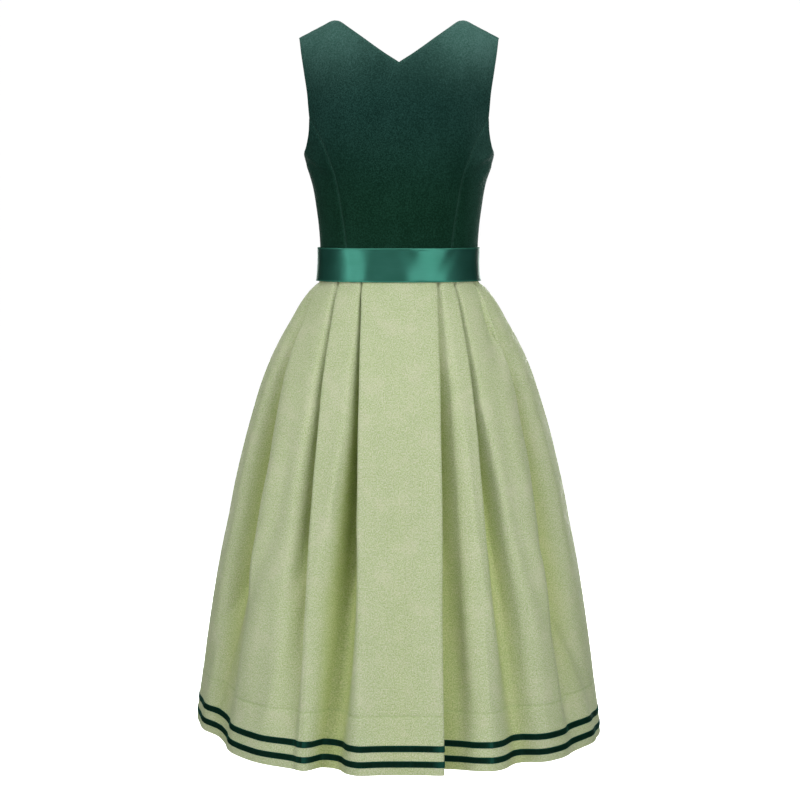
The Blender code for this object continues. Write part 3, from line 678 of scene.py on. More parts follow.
def dark_velvet():
    """Short upright pile: a fine speckle of tips, lying a little this way and that.

    Painted sheen lightens it up the bodice, on the shoulders and at the sides, and a painted
    highlight runs along its seams and turned edges.
    """
    material, place, _ = begin_cloth("green_velvet")
    tips = place.noise(1500.0, 2.0, 0.6)
    tufts = place.noise(430.0, 2.0, 0.7)
    brushed = place.noise(34.0, 3.0, 0.55, stretch=(1.0, 1.0, 0.55))
    lie = place.noise(9.0, 2.0, 0.5)
    across, _, height = place.parts()
    shade = tips * 0.16 + tufts * 0.62 + brushed * 0.14 + lie * 0.16 - 0.04
    speckle = shade.rising(0.40, 0.62)
    colour = speckle.dyed(VELVET_DEEP, VELVET_PALE)
    # Painted sheen: lighter up the bodice and lightest on the shoulders, where light falls on the
    # pile.
    painted_upper_sheen = speckle.dyed(VELVET_PAINTED_UPPER_SHEEN_DEEP, VELVET_PAINTED_UPPER_SHEEN_PALE)
    colour = height.rising(*TO_PAINTED_UPPER_SHEEN).dyed(colour, painted_upper_sheen)
    painted_shoulder_sheen = speckle.dyed(VELVET_PAINTED_SHOULDER_SHEEN_DEEP, VELVET_PAINTED_SHOULDER_SHEEN_PALE)
    painted_sheen_across = across.size().rising(*ONTO_SHOULDER) * 0.6 + 0.4
    painted_sheen_across = painted_sheen_across * (across.rising(*ACROSS_STRAPS) * 0.28 + 0.72)
    colour = (height.rising(*TO_PAINTED_SHOULDER_SHEEN) ** 1.9 * painted_sheen_across).dyed(colour, painted_shoulder_sheen)
    # Painted light at the sides too, the right side lighter than the left.
    at_sides = across.rising(*ONTO_RIGHT_SIDE) * 0.19 + across.rising(*ONTO_LEFT_SIDE) * 0.06
    colour = (at_sides * height.rising(*UNDER_SHOULDERS)).dyed(colour, painted_shoulder_sheen)
    # Painted highlight along the seams and turned edges, where the rolled cloth catches the light.
    painted_edge_highlight = colour.share("edges_and_painted_light") * (tufts * 0.5 + 0.35)
    colour = painted_edge_highlight.dyed(colour, VELVET_PAINTED_EDGE_HIGHLIGHT)
    roughness = tufts * 0.16 + 0.72
    relief = tips * 0.6 + tufts * 0.4
    return finish_cloth(material, colour, roughness, relief, bump_metres=0.0005, constants={
        "Specular IOR Level": 0.06, "Sheen Weight": 0.11, "Sheen Roughness": 0.40,
        "Sheen Tint": (0.36, 0.78, 0.62, 1.0)})


COTTON_DEEP = (0.016, 0.050, 0.037)
COTTON_PALE = (0.028, 0.076, 0.057)
TWO_COTTON_YARNS = 0.0014


def cotton_lining():
    """Plain-weave cotton in the velvet's green, one yarn over and one under."""
    material, place, flat_run = begin_cloth("cotton_lining")
    across, down, _ = flat_run.parts()
    warp = across.waves(TWO_COTTON_YARNS)
    weft = down.waves(TWO_COTTON_YARNS)
    weave = (warp * weft + 1.0) * 0.5
    slub = place.noise(700.0, 3.0, 0.6, stretch=(1.0, 1.0, 0.25))
    colour = (weave * 0.5 + slub * 0.5).dyed(COTTON_DEEP, COTTON_PALE)
    roughness = slub * 0.10 + 0.78
    return finish_cloth(material, colour, roughness, weave, bump_metres=0.00010, constants={
        "Specular IOR Level": 0.15, "Sheen Weight": 0.04, "Sheen Roughness": 0.5})


velvet = dark_velvet()
lining = cotton_lining()

back_left = joined(edge_places("back", BACK_PRINCESS_IN_BAND, -1, BAND_ROWS),
                   edge_places("back", BACK_PRINCESS, -1, PRINCESS_ROWS),
                   edge_places("back", BACK_ARMHOLE_TOP, -1, ARMHOLE_ROWS))
back_right = back_left * np.array((-1.0, 1.0))
half_back_top = joined(edge_places("back", SHOULDER_SEAM, -1, SHOULDER_COLUMNS),
                       edge_places("back", BACK_NECK, -1, NECK_COLUMNS))
back_top = joined(half_back_top, half_back_top[::-1] * np.array((-1.0, 1.0)))
back_across = shares_along("back", back_top)
back_up = shares_along("back", back_left)
back_turns = back_left[0, 0] + (back_right[0, 0] - back_left[0, 0]) * back_across
back_places = patch_places(waist_places(back_turns), back_top, back_left, back_right,
                           back_across, back_up)
SEAM_TOP = BAND_ROWS + PRINCESS_ROWS
LAST_ROW = SEAM_TOP + ARMHOLE_ROWS
LAST_COLUMN = 2 * (SHOULDER_COLUMNS + NECK_COLUMNS)
back_panel = bodice_panel(
    "back_panel", "bodice_back", "back", back_places,
    seams=(("left", (0, SEAM_TOP)), ("right", (0, SEAM_TOP)), ("top", (0, SHOULDER_COLUMNS)),
           ("top", (LAST_COLUMN - SHOULDER_COLUMNS, LAST_COLUMN))),
    free_edges=(("left", (SEAM_TOP, LAST_ROW)), ("right", (SEAM_TOP, LAST_ROW)),
                ("top", (SHOULDER_COLUMNS, LAST_COLUMN - SHOULDER_COLUMNS))),
    drags=BACK_DRAGS, materials=(velvet, lining))


# ==== Bodice: the two side backs ==============================================================
# Narrow panels of the same velvet between the back's long seams and the side seams.  Their
# tops are the lowest part of the armholes, turned in over the lining.

BACK_ARMHOLE_FOOT = (
    Edge(136.4, -137.0), Edge(137.4, -156.0), Edge(140.0, -171.5), Edge(143.6, -183.5),
    Edge(146.0, -191.0),
)
SIDE_SEAM_TOP_Z = -191.0
SIDE_SEAM_TURN = 90.0
SIDES = (("left", -1), ("right", 1))


def side_panel(name, node, face, side, in_band, princess, armhole, drags):
    """The narrow panel of one side, back or front, out to the side seam."""
    inner = joined(edge_places(face, in_band, side, BAND_ROWS),
                   edge_places(face, princess, side, PRINCESS_ROWS))
    seam = upright_places(side * SIDE_SEAM_TURN, SIDE_SEAM_TOP_Z, PRINCESS_ROWS)
    top = edge_places(face, armhole, side, SIDE_COLUMNS)
    across = shares_along(face, top)
    turns = inner[0, 0] + (side * SIDE_SEAM_TURN - inner[0, 0]) * across
    places = patch_places(waist_places(turns), top, inner, seam, across,
                          shares_along(face, inner))
    return bodice_panel(name, node, face, places,
                        seams=(("left", (0, SEAM_TOP)), ("right", (0, SEAM_TOP))),
                        free_edges=(("top", (0, SIDE_COLUMNS)),),
                        drags=drags, materials=(velvet, lining))


for side_name, side in SIDES:
    side_back = side_panel("side_back_" + side_name, "bodice_side_back_" + side_name, "back", side,
                           BACK_PRINCESS_IN_BAND, BACK_PRINCESS, BACK_ARMHOLE_FOOT, BACK_DRAGS)


# ==== Bodice: the two side fronts =============================================================
# The same narrow panels in front, whose long seams are curved to shape the bust.

FRONT_PRINCESS_IN_BAND = (Edge(62.0, -358.0), Edge(65.0, -333.0))
FRONT_PRINCESS = (
    Edge(65.0, -333.0), Edge(75.0, -275.0), Edge(84.0, -236.0), Edge(96.0, -200.0),
    Edge(111.0, -163.0), Edge(127.5, -128.0),
)
FRONT_ARMHOLE_FOOT = (
    Edge(127.5, -128.0), Edge(130.0, -150.0), Edge(135.5, -169.0), Edge(142.4, -183.5),
    Edge(146.0, -191.0),
)
FRONT_DRAGS = [Drag(*row) for row in (
    ((-143, -187), (-128, -204), (-108, -216), 5.0, 1.2),
    ((-141, -203), (-125, -222), (-99, -233), 6.5, -1.0),
    ((142, -190), (129, -209), (110, -221), 5.5, 1.1),
    ((140, -208), (121, -224), (101, -231), 6.0, -1.2),
    ((-112, -120), (-96, -150), (-84, -190), 10.0, -0.9),
    ((109, -117), (98, -148), (80, -186), 11.0, -0.8),
    ((-60, -250), (-48, -284), (-44, -322), 9.0, 0.8),
    ((57, -256), (51, -290), (40, -319), 8.0, 0.9),
    ((-100, -262), (-92, -290), (-90, -324), 8.0, -0.8),
    ((103, -258), (94, -286), (93, -318), 7.5, -0.8),
    ((-40, -232), (-20, -246), (-3, -243), 9.0, -0.7),
    ((3, -238), (22, -252), (42, -240), 8.0, -0.6),
    ((-56, -326), (-30, -316), (-5, -320), 6.0, 0.7),
    ((6, -324), (28, -313), (60, -321), 7.0, 0.7),
)]
for side_name, side in SIDES:
    side_front = side_panel("side_front_" + side_name, "bodice_side_front_" + side_name, "front",
                            side, FRONT_PRINCESS_IN_BAND, FRONT_PRINCESS, FRONT_ARMHOLE_FOOT,
                            FRONT_DRAGS)


# ==== Bodice: the two fronts ==================================================================
# Each runs from the opening down the centre front, where the two meet edge to edge over a
# fastener that doesn't show, to the long seam and the armhole.  Their neck edges make the V.

FRONT_NECK = (
    Edge(98.5, 12.0), Edge(86.0, -26.0), Edge(66.0, -76.0), Edge(37.0, -124.0), Edge(0.0, -164.0),
)
FRONT_ARMHOLE_TOP = (
    Edge(127.5, -128.0), Edge(127.8, -100.0), Edge(135.5, -60.0), Edge(145.5, -32.0),
    Edge(153.0, -13.5),
)
CENTRE_FRONT_TOP_Z = -164.0
for side_name, side in SIDES:
    centre = upright_places(0.0, CENTRE_FRONT_TOP_Z, PRINCESS_ROWS + ARMHOLE_ROWS)
    long_seam = joined(edge_places("front", FRONT_PRINCESS_IN_BAND, side, BAND_ROWS),
                       edge_places("front", FRONT_PRINCESS, side, PRINCESS_ROWS),
                       edge_places("front", FRONT_ARMHOLE_TOP, side, ARMHOLE_ROWS))
    neck = joined(edge_places("front", FRONT_NECK, side, NECK_COLUMNS)[::-1],
                  edge_places("front", SHOULDER_SEAM, side, SHOULDER_COLUMNS)[::-1])
    across = shares_along("front", neck)
    turns = long_seam[0, 0] * across
    places = patch_places(waist_places(turns), neck, centre, long_seam, across,
                          shares_along("front", long_seam))
    front = bodice_panel(
        "front_" + side_name, "bodice_front_" + side_name, "front", places,
        seams=(("right", (0, SEAM_TOP)),
               ("top", (NECK_COLUMNS, NECK_COLUMNS + SHOULDER_COLUMNS))),
        free_edges=(("left", (0, LAST_ROW)), ("right", (SEAM_TOP, LAST_ROW)),
                    ("top", (0, NECK_COLUMNS))),
        drags=FRONT_DRAGS, materials=(velvet, lining))


# ==== The pleated skirt =======================================================================
# Two halves of sage jacquard, laid in pleats at the waist and falling in a bell.  Beside the
# flat centre panel the pleats fold away from the middle; pressed sharp at the top, they open
# into soft folds.  The hem is turned up inside and caught down along its top edge.

HEM_Z = -1083.0
SKIRT_THICKNESS = 1.1
SKIRT_WALL = 1.5
SEAM_GAP = 0.3

# The skirt's outline by height, in millimetres.
SkirtRow = namedtuple("SkirtRow", "z half_width back_depth front_depth")
SKIRT_OUTLINE = [SkirtRow(*row) for row in (
    (-1083, 315.0, 300.0, 298.0), (-1060, 313.0, 298.0, 296.0), (-1012, 306.6, 290.5, 289.0),
    (-938, 297.4, 279.0, 278.0), (-861, 286.4, 266.0, 266.0), (-794, 274.8, 252.5, 253.0),
    (-752, 266.4, 243.0, 244.0), (-699, 256.8, 232.5, 234.0), (-637, 243.0, 218.0, 220.0),
    (-583, 228.8, 203.0, 205.0), (-541, 216.2, 187.0, 190.0), (-504, 202.0, 170.5, 174.0),
    (-472, 186.4, 151.5, 156.0), (-438, 166.8, 129.5, 134.0), (-421, 157.0, 119.5, 124.0),
    (-409, 148.6, 112.0, 116.5), (-397, 138.4, 103.0, 107.5), (-386, 125.0, 93.4, 97.6),
    (-384, 123.8, 92.4, 96.6), (-371, 121.6, 90.8, 95.0), (-358, 120.8, 90.0, 94.2),
)]

# The pleats of each quarter, outward from the centre line: where the crest lies at the waist and
# at the hem, how far it covers its valley at the waist and leaves it open at the hem, the power
# by which it opens, how deep the valley is, and how broad the rise out of it is at both ends.
Pleat = namedtuple("Pleat", "waist_arc hem_arc tuck run opens mid_depth hem_depth narrow wide")
BACK_RIGHT_PLEATS = (
    Pleat(58, 66, 14, -5, 1.0, 38, 36, 12, 82), Pleat(87, 150, 14, 45, 2.4, 31, 20, 5, 38),
    Pleat(131, 280, 14, 42, 1.5, 42, 3, 26, 70), Pleat(153, 452, 6, 22, 1.2, 15, 5, 10, 40),
)
BACK_LEFT_PLEATS = (
    Pleat(56, 65, 14, 50, 3.0, 52, 28, 4, 54), Pleat(96, 152, 14, 12, 1.3, 33, 4, 8, 50),
    Pleat(136, 287, 14, 60, 1.2, 46, 12, 24, 36), Pleat(154, 460, 6, 15, 1.2, 15, 5, 10, 40),
)
FRONT_RIGHT_PLEATS = (
    Pleat(57, 64, 14, 34, 2.3, 43, 26, 7, 40), Pleat(94, 152, 14, 20, 1.5, 36, 16, 9, 36),
    Pleat(135, 284, 14, 46, 1.4, 32, 14, 12, 46), Pleat(157, 452, 6, 20, 1.2, 15, 5, 10, 40),
)
FRONT_LEFT_PLEATS = (
    Pleat(59, 66, 14, 20, 1.8, 44, 30, 9, 36), Pleat(95, 149, 14, 40, 2.2, 37, 20, 8, 32),
    Pleat(134, 278, 14, 40, 1.3, 31, 12, 12, 40), Pleat(156, 456, 6, 18, 1.2, 15, 5, 10, 40),
)

# How folded layers lie on each other, how a pleat rounds as it opens, and the centre panel.
LAYER_PITCH = 2.3
CREST_TURN_AT_HEM = 5.0
VALLEY_TURN_AT_HEM = 8.0
ARC_GROWTH = 1.25
UNDER_CREST = 2.0
BEFORE_TUCK = 3.0
LEAST_STEP = 1.0
LAST_STEP = 1.5
OPEN_SHOULDER = 8.0
UNDERLAY_LEAN = 0.28
OPENS_FROM = 4.0
OPENS_OVER = 16.0
OPEN_CREST_SINK = 0.04
OPEN_UNDER_CREST_SINK = 0.24
OPEN_BEFORE_VALLEY_SINK = 0.80
MID_DEPTH_SHARE_HALFWAY = 0.24
WIDENS = 2.1
RISE_SHARES = (0.10, 0.36, 0.66, 1.0)
RISE_DEPTHS = (0.95, 0.66, 0.24, 0.03)
PANEL_EDGE = 4.0
CENTRE_SHARES = (0.0, 0.34, 0.67)
CENTRE_HOLLOW_AT_HEM = 9.0
MID_SKIRT = 0.7
VALLEY_FROM_SEAM = 4.0
HEM_LIFT = 22.0
HEM_LIFT_TURN = -88.0
HEM_LIFT_SPREAD = 54.0
CELLS_BETWEEN_POINTS = 4

# Soft hollows (and, with a rise, soft ridges) down the skirt.  The arcs are measured from the
# centre line, right of it as positive; heights are above the hem.
Fold = namedtuple("Fold", "low_arc low_height high_arc high_height breadth rise bow")
BACK_FOLDS = [Fold(*row) for row in (
    (-26, -40, -22, 430, 17, -2.2, 6), (20, -60, 27, 520, 15, -1.8, -7),
    (1, 60, 3, 610, 12, 1.2, 4), (-108, -90, -76, 350, 20, -12.0, -4),
    (-128, 40, -84, 520, 9, 2.0, 5), (-214, -70, -128, 410, 19, -3.8, 9),
    (-192, 10, -118, 500, 11, 2.4, -6), (-246, -30, -140, 300, 12, 2.6, 5),
    (-352, -60, -170, 480, 22, -5.2, -12), (-322, 20, -168, 560, 14, 3.0, 8),
    (-398, -60, -196, 380, 16, 3.6, 6), (-432, -30, -176, 540, 15, -4.0, -8),
    (110, -120, 82, 330, 24, -8.0, 4), (140, 50, 88, 560, 8, 1.8, -4),
    (276, -60, 160, 640, 24, 6.0, 0), (314, -60, 196, 640, 17, -6.5, 0),
    (-278, -60, -172, 640, 24, 5.0, 0), (-325, -60, -190, 640, 14, -7.0, 0),
    (168, 560, 138, 722, 13, -7.0, 0), (208, -60, 124, 470, 18, -3.6, -8),
    (182, -10, 113, 380, 10, 2.4, 6), (242, 20, 137, 590, 11, 2.0, 6),
    (340, -60, 170, 420, 21, -4.8, 11), (312, -20, 160, 540, 13, 2.8, -7),
    (392, -40, 190, 500, 15, 3.2, -6), (428, -50, 176, 440, 14, -3.8, 9),
)]
FRONT_FOLDS = [Fold(*row) for row in (
    (-24, -50, -26, 500, 16, -2.0, -6), (22, -60, 20, 440, 17, -2.2, 7),
    (-2, 90, 2, 600, 12, 1.1, -4), (108, -60, 76, 380, 12, -3.4, 6),
    (127, 30, 84, 540, 9, 2.0, -5), (212, -60, 126, 440, 18, -3.6, -9),
    (190, 0, 117, 520, 11, 2.3, 6), (346, -60, 172, 450, 21, -5.0, 12),
    (318, 10, 166, 560, 13, 2.9, -7), (396, -50, 194, 400, 16, 3.4, -6),
    (430, -40, 178, 520, 14, -3.9, 8), (-106, -50, -75, 350, 13, -3.3, -6),
    (-126, 40, -83, 560, 8, 1.9, 4), (-210, -60, -125, 460, 19, -3.7, 8),
    (-186, 0, -115, 400, 10, 2.4, -6), (-344, -60, -171, 430, 20, -4.9, -11),
    (-314, -10, -163, 550, 14, 2.8, 7), (-394, -40, -192, 480, 15, 3.3, 6),
    (-429, -50, -177, 450, 15, -3.8, -9),
)]

# The turned-up hem and its line of stitches, the puckers under the ribbon, the side seams, the
# cloth's own slight wandering, and how deep in a fold and how near the stitches shade is painted.
HEM_DEPTH = 83.0
HEM_LEDGE = 0.35
HEM_GROOVE = 0.80
PAINTED_FOLD_SHADE_DEPTH = 34.0
PUCKER_SEED = 11
PUCKERS = 110
PUCKERS_REACH = 172
PUCKER_SHIFTS = (-2.0, 2.0)
PUCKER_LEANS = (-0.25, 0.25)
PUCKER_LENGTHS = (9.0, 46.0)
PUCKER_BREADTHS = (1.3, 3.2)
PUCKER_RISES = (-0.55, 0.75)
RIBBON_FOOT = 699.0
HEM_LEDGE_REACH = 2.0
HEM_GROOVE_REACH = 1.7
HEM_STITCH_PITCH = 8.0
SEAM_PINCH = 0.9
SEAM_PINCH_REACH = 2.2
WANDER = 0.35
WANDER_WAVES = ((61.0, 143.0, 0.0), (37.0, -88.0, 1.3))
WANDER_STARTS_OVER = 260
TURN_UP_THICKNESS = 1.0
TURN_UP_EDGE = 3.0
HEM_LINE_REACH = 1.3
SKIRT_RIM = 0.3
OUTLINE_STEPS = 240


def quarter_arcs(half_width, depth):
    """Angles round a quarter of the outline and the arc run from the centre line to each."""
    angles = np.linspace(0, math.pi / 2, OUTLINE_STEPS + 1)
    steps = np.hypot(np.diff(half_width * np.sin(angles)), np.diff(depth * np.cos(angles)))
    return angles, np.concatenate(([0.0], np.cumsum(steps)))


skirt_half_width = through(SKIRT_OUTLINE, "half_width")
SKIRT_DEPTH = {face: through(SKIRT_OUTLINE, face + "_depth") for face in ("back", "front")}


def between(low, high, share):
    """The value that lies a share of the way from low to high."""
    return low + (high - low) * share


def pleat_shape(pleat, growth, seam_arc):
    """Six pairs of arc and depth for the crest and the valley of a pleat at one level."""
    crest = between(pleat.waist_arc, pleat.hem_arc, growth ** ARC_GROWTH)
    tuck = between(pleat.tuck, -pleat.run, growth ** pleat.opens)
    valley = min(crest - tuck, seam_arc - VALLEY_FROM_SEAM * (1 + growth))
    closed = 2 * LAYER_PITCH
    low_depth = between(closed, pleat.mid_depth, MID_DEPTH_SHARE_HALFWAY)
    depths = np.array((closed, low_depth, pleat.mid_depth, pleat.hem_depth), float)
    depth = float(through_points(np.array((0.0, MID_SKIRT / 2, MID_SKIRT, 1.0)), depths)(growth))
    opening = float(eased((OPENS_FROM - tuck) / OPENS_OVER))
    crest_turn = between(LAYER_PITCH, CREST_TURN_AT_HEM, growth)
    valley_turn = between(LAYER_PITCH, VALLEY_TURN_AT_HEM, growth)
    lean = UNDERLAY_LEAN * max(valley - crest, 0.0)
    shoulder = min(OPEN_SHOULDER, max(lean, crest_turn))
    rows = (
        (crest - between(crest_turn / 2, shoulder, opening), 0.0),
        (crest, between(crest_turn / 2, OPEN_CREST_SINK * depth, opening)),
        (crest - between(crest_turn / 2, -lean, opening),
         between(crest_turn, OPEN_UNDER_CREST_SINK * depth, opening)),
        (valley + between(valley_turn / 2, -lean, opening),
         between(depth - valley_turn, OPEN_BEFORE_VALLEY_SINK * depth, opening)),
        (valley, between(depth - valley_turn / 2, depth, opening)),
        (min(valley + between(valley_turn / 2, shoulder, opening), seam_arc - LAST_STEP), depth),
    )
    return rows, tuck, depth


def quarter_section(face, pleats, z):
    """Arc and depth of the cloth from the centre line to the side seam at one level."""
    waist = SKIRT_OUTLINE[-1].half_width
    hem = SKIRT_OUTLINE[0].half_width
    growth = float((skirt_half_width(z) - waist) / (hem - waist))
    half_width = float(skirt_half_width(z)) - SKIRT_WALL / 2
    depth = float(SKIRT_DEPTH[face](z)) - SKIRT_WALL / 2
    angles, arcs = quarter_arcs(half_width, depth)
    seam_arc = arcs[-1] - SEAM_GAP / 4
    section = []
    hollow = CENTRE_HOLLOW_AT_HEM * growth ** 2
    valley_depth = 0.0
    ramp_start = ramp_breadth = None
    for pleat in pleats:
        rows, tuck, deep = pleat_shape(pleat, growth, seam_arc)
        if ramp_start is None:
            for share in CENTRE_SHARES:
                section.append((rows[0][0] * share, hollow * (1 - share ** 2)))
        else:
            ramp_end = min(rows[1][0] - max(tuck, 0.0) - BEFORE_TUCK, rows[0][0] - LEAST_STEP)
            ramp_breadth = min(ramp_breadth, ramp_end - ramp_start - PANEL_EDGE)
            for share, left in zip(RISE_SHARES, RISE_DEPTHS):
                section.append((ramp_start + share * ramp_breadth, valley_depth * left))
            section.append((between(section[-1][0], ramp_end, 0.5), 0.0))
            section.append((ramp_end, 0.0))
        section.extend(rows)
        ramp_start = max(rows[5][0] + LEAST_STEP, rows[1][0] + UNDER_CREST)
        ramp_breadth = between(pleat.narrow, pleat.wide, growth ** WIDENS)
        valley_depth = deep
    section.append((seam_arc, valley_depth))
    arc, sunk = np.array(section).T
    angle = np.interp(arc, arcs, angles)
    out = np.stack((np.sin(angle) / half_width, np.cos(angle) / depth), 1)
    out /= np.linalg.norm(out, axis=1, keepdims=True)
    x = half_width * np.sin(angle) - out[:, 0] * sunk
    y = depth * np.cos(angle) - out[:, 1] * sunk
    return x, y, angle, arc, sunk


def skirt_control_row(face, height):
    """One half ring of the cloth's middle, from its left end, with each point's arc and depth."""
    z = min(HEM_Z + height, WAIST_SEAM_Z)
    quarters = {"back": (BACK_LEFT_PLEATS, BACK_RIGHT_PLEATS),
                "front": (FRONT_RIGHT_PLEATS, FRONT_LEFT_PLEATS)}[face]
    forward = 1 if face == "front" else -1
    halves = []
    for pleats, end in zip(quarters, (-1, 1)):
        side = end if face == "back" else -end
        x, y, angle, arc, sunk = quarter_section(face, pleats, z)
        off = np.minimum(np.abs(side * np.degrees(angle) - HEM_LIFT_TURN) / HEM_LIFT_SPREAD, 1)
        reach = max((WAIST_SEAM_Z - z) / (WAIST_SEAM_Z - HEM_Z), 0.0)
        lift = HEM_LIFT * np.cos(off * math.pi / 2) ** 2 * reach ** 2
        level = HEM_Z + height + lift
        halves.append(np.stack((side * x, forward * y, level, end * arc, sunk), 1))
    return np.concatenate((halves[0][::-1], halves[1][1:]))


def smooth_rows(points, cells):
    """Rows of points carried on into smooth curves through them, with cells between each pair."""
    before = 2 * points[:, :1] - points[:, 1:2]
    after = 2 * points[:, -1:] - points[:, -2:-1]
    spread = np.concatenate((before, points, after), axis=1)
    gaps = np.linalg.norm(np.diff(spread[..., :3], axis=1), axis=2) ** 0.5 + 1e-6
    knots = np.concatenate((np.zeros((len(points), 1)), np.cumsum(gaps, axis=1)), axis=1)
    knots = knots[..., None]
    made = []
    p0, p1, p2, p3 = (spread[:, i:i + points.shape[1] - 1] for i in range(4))
    t0, t1, t2, t3 = (knots[:, i:i + points.shape[1] - 1] for i in range(4))
    for cell in range(cells):
        t = t1 + (t2 - t1) * cell / cells
        a1 = (t1 - t) / (t1 - t0) * p0 + (t - t0) / (t1 - t0) * p1
        a2 = (t2 - t) / (t2 - t1) * p1 + (t - t1) / (t2 - t1) * p2
        a3 = (t3 - t) / (t3 - t2) * p2 + (t - t2) / (t3 - t2) * p3
        b1 = (t2 - t) / (t2 - t0) * a1 + (t - t0) / (t2 - t0) * a2
        b2 = (t3 - t) / (t3 - t1) * a2 + (t - t1) / (t3 - t1) * a3
        made.append((t2 - t) / (t2 - t1) * b1 + (t - t1) / (t2 - t1) * b2)
    woven = np.stack(made, axis=2).reshape(points.shape[0], -1, points.shape[2])
    return np.concatenate((woven, points[:, -1:]), axis=1)


def grid_normals(points):
    """Unit directions out of a grid of points."""
    across = np.gradient(points, axis=1)
    up = np.gradient(points, axis=0)
    normal = np.cross(across, up)
    return normal / np.maximum(np.linalg.norm(normal, axis=2, keepdims=True), 1e-9)


def fold_relief(folds, arcs, heights):
    """Rise of the cloth that a table of folds gives, each fading out at its two ends."""
    relief = np.zeros_like(arcs)
    for fold in folds:
        share = (heights - fold.low_height) / (fold.high_height - fold.low_height)
        inside = np.clip(share, 0.0, 1.0)
        line = between(fold.low_arc, fold.high_arc, inside)
        line = line + fold.bow * np.sin(inside * 2 * math.pi)
        taper = np.where((share > 0) & (share < 1), np.sin(math.pi * inside) ** 0.7, 0.0)
        breadth = fold.breadth * (1.15 - 0.6 * inside)
        relief += fold.rise * taper * swell((arcs - line) / breadth)
    return relief


def pucker_relief(arcs, heights, seed):
    """Short uneven ridges where the pleated cloth is eased into the waist seam."""
    chance = np.random.default_rng(seed)
    relief = np.zeros_like(arcs)
    for place in np.linspace(-PUCKERS_REACH, PUCKERS_REACH, PUCKERS):
        centre = place + chance.uniform(*PUCKER_SHIFTS)
        lean = chance.uniform(*PUCKER_LEANS)
        length = chance.uniform(*PUCKER_LENGTHS)
        breadth = chance.uniform(*PUCKER_BREADTHS)
        rise = chance.uniform(*PUCKER_RISES)
        below = RIBBON_FOOT - heights
        taper = swell(below / length) * eased(below / 6.0 + 0.4)
        relief += rise * taper * swell((arcs - centre - lean * below) / breadth)
    return relief


def skirt_surface(face, heights):
    """The cloth's middle for rows above the hem, its run from one side seam, and the share of
    painted shade deep in its folds.
    """
    control = np.stack([skirt_control_row(face, height) for height in heights])
    grid = smooth_rows(control, CELLS_BETWEEN_POINTS)
    points, arcs, sunk = grid[..., :3], grid[..., 3], grid[..., 4]
    normals = grid_normals(points)
    level = np.broadcast_to(np.asarray(heights, float)[:, None], arcs.shape)
    folds = BACK_FOLDS if face == "back" else FRONT_FOLDS
    relief = fold_relief(folds, arcs, level)
    relief += pucker_relief(arcs, level, PUCKER_SEED + (face == "front"))
    run = from_left(points)
    wander = sum(np.sin(run / across + level / up + shift) for across, up, shift in WANDER_WAVES)
    relief += WANDER * wander * eased((RIBBON_FOOT - level) / WANDER_STARTS_OVER)
    relief += HEM_LEDGE * (1 - eased((level - HEM_DEPTH + 0.5) / HEM_LEDGE_REACH))
    catch = 0.65 + 0.35 * np.cos(2 * math.pi * run / HEM_STITCH_PITCH)
    relief -= HEM_GROOVE * catch * swell((level - HEM_DEPTH) / HEM_GROOVE_REACH)
    from_seam = np.minimum(run, run[:, -1:] - run)
    relief -= SEAM_PINCH * swell(from_seam / SEAM_PINCH_REACH)
    return points + normals * relief[..., None], run, eased(sunk / PAINTED_FOLD_SHADE_DEPTH)


def skirt_half(name, node, face, materials):
    """Half the skirt: rows set close at the hem's turn and under the ribbon, open between."""
    close_rows = [0.0, 0.8, 2.4, 5.0, 9.0, 14.0, 20.0, 27.0, 34.0, 42.0, 50.0, 58.0, 66.0, 73.0,
                  78.0, 80.5, 82.0, 83.0, 84.0, 85.5, 88.0, 93.0, 100.0]
    open_rows = list(np.linspace(108.0, 660.0, 72)) + list(np.linspace(664.0, 724.5, 24))
    heights = close_rows + open_rows
    middle, run, painted_fold_shade = skirt_surface(face, heights)
    normals = grid_normals(middle)
    level = np.array(heights)[:, None]
    turn_up = TURN_UP_THICKNESS * (1 - eased((level - HEM_DEPTH + 2) / TURN_UP_EDGE))
    outer = middle + normals * SKIRT_THICKNESS / 2
    inner = middle - normals * (SKIRT_THICKNESS / 2 + turn_up)[..., None]
    centre = middle.shape[1] // 2
    across = run - run[:, centre:centre + 1]
    rise = np.concatenate(([0.0], np.cumsum(np.linalg.norm(
        np.diff(middle, axis=0), axis=2).mean(axis=1))))
    flat_run = np.stack((across, np.broadcast_to(rise[:, None], across.shape)), -1)
    # Painted shade along the hem's line of stitches, dotted with the stitches.
    stitched = 0.7 + 0.3 * np.cos(2 * math.pi * run / HEM_STITCH_PITCH)
    painted_stitch_shade = swell((level - HEM_DEPTH) / HEM_LINE_REACH) * stitched
    shares = {"edges_and_painted_light": painted_stitch_shade, "painted_fold_shade": painted_fold_shade}
    piece = cloth_shell(name, outer, inner, SKIRT_RIM, materials, shares, flat_run,
                        face_out=True)
    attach(piece, "root")
    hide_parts(node)
    return piece


REPEAT_ACROSS = 0.044
REPEAT_UP = 0.060
JACQUARD_GROUND = (0.445, 0.518, 0.290)
JACQUARD_FIGURE = (0.468, 0.534, 0.314)
JACQUARD_WARP_FLECK = (0.600, 0.590, 0.440)
JACQUARD_WEFT_FLECK = (0.255, 0.350, 0.120)
JACQUARD_PAINTED_FOLD_SHADE = (0.910, 0.930, 0.620)
WARP_PITCH = 0.00075
WEFT_PITCH = 0.0009
PETALS = 5.0
PETAL_DEPTH = 0.0011
ROSETTE_RADIUS = 0.0046
ROSETTE_EYE = (0.0011, 0.0016)
STEM_SWING = 0.0125
STEM_EDGE = (0.00045, 0.0009)
STEM_START = (0.006, 0.0068)
CURL_THICKNESS = 0.0008
SOFT_EDGE = 0.0003

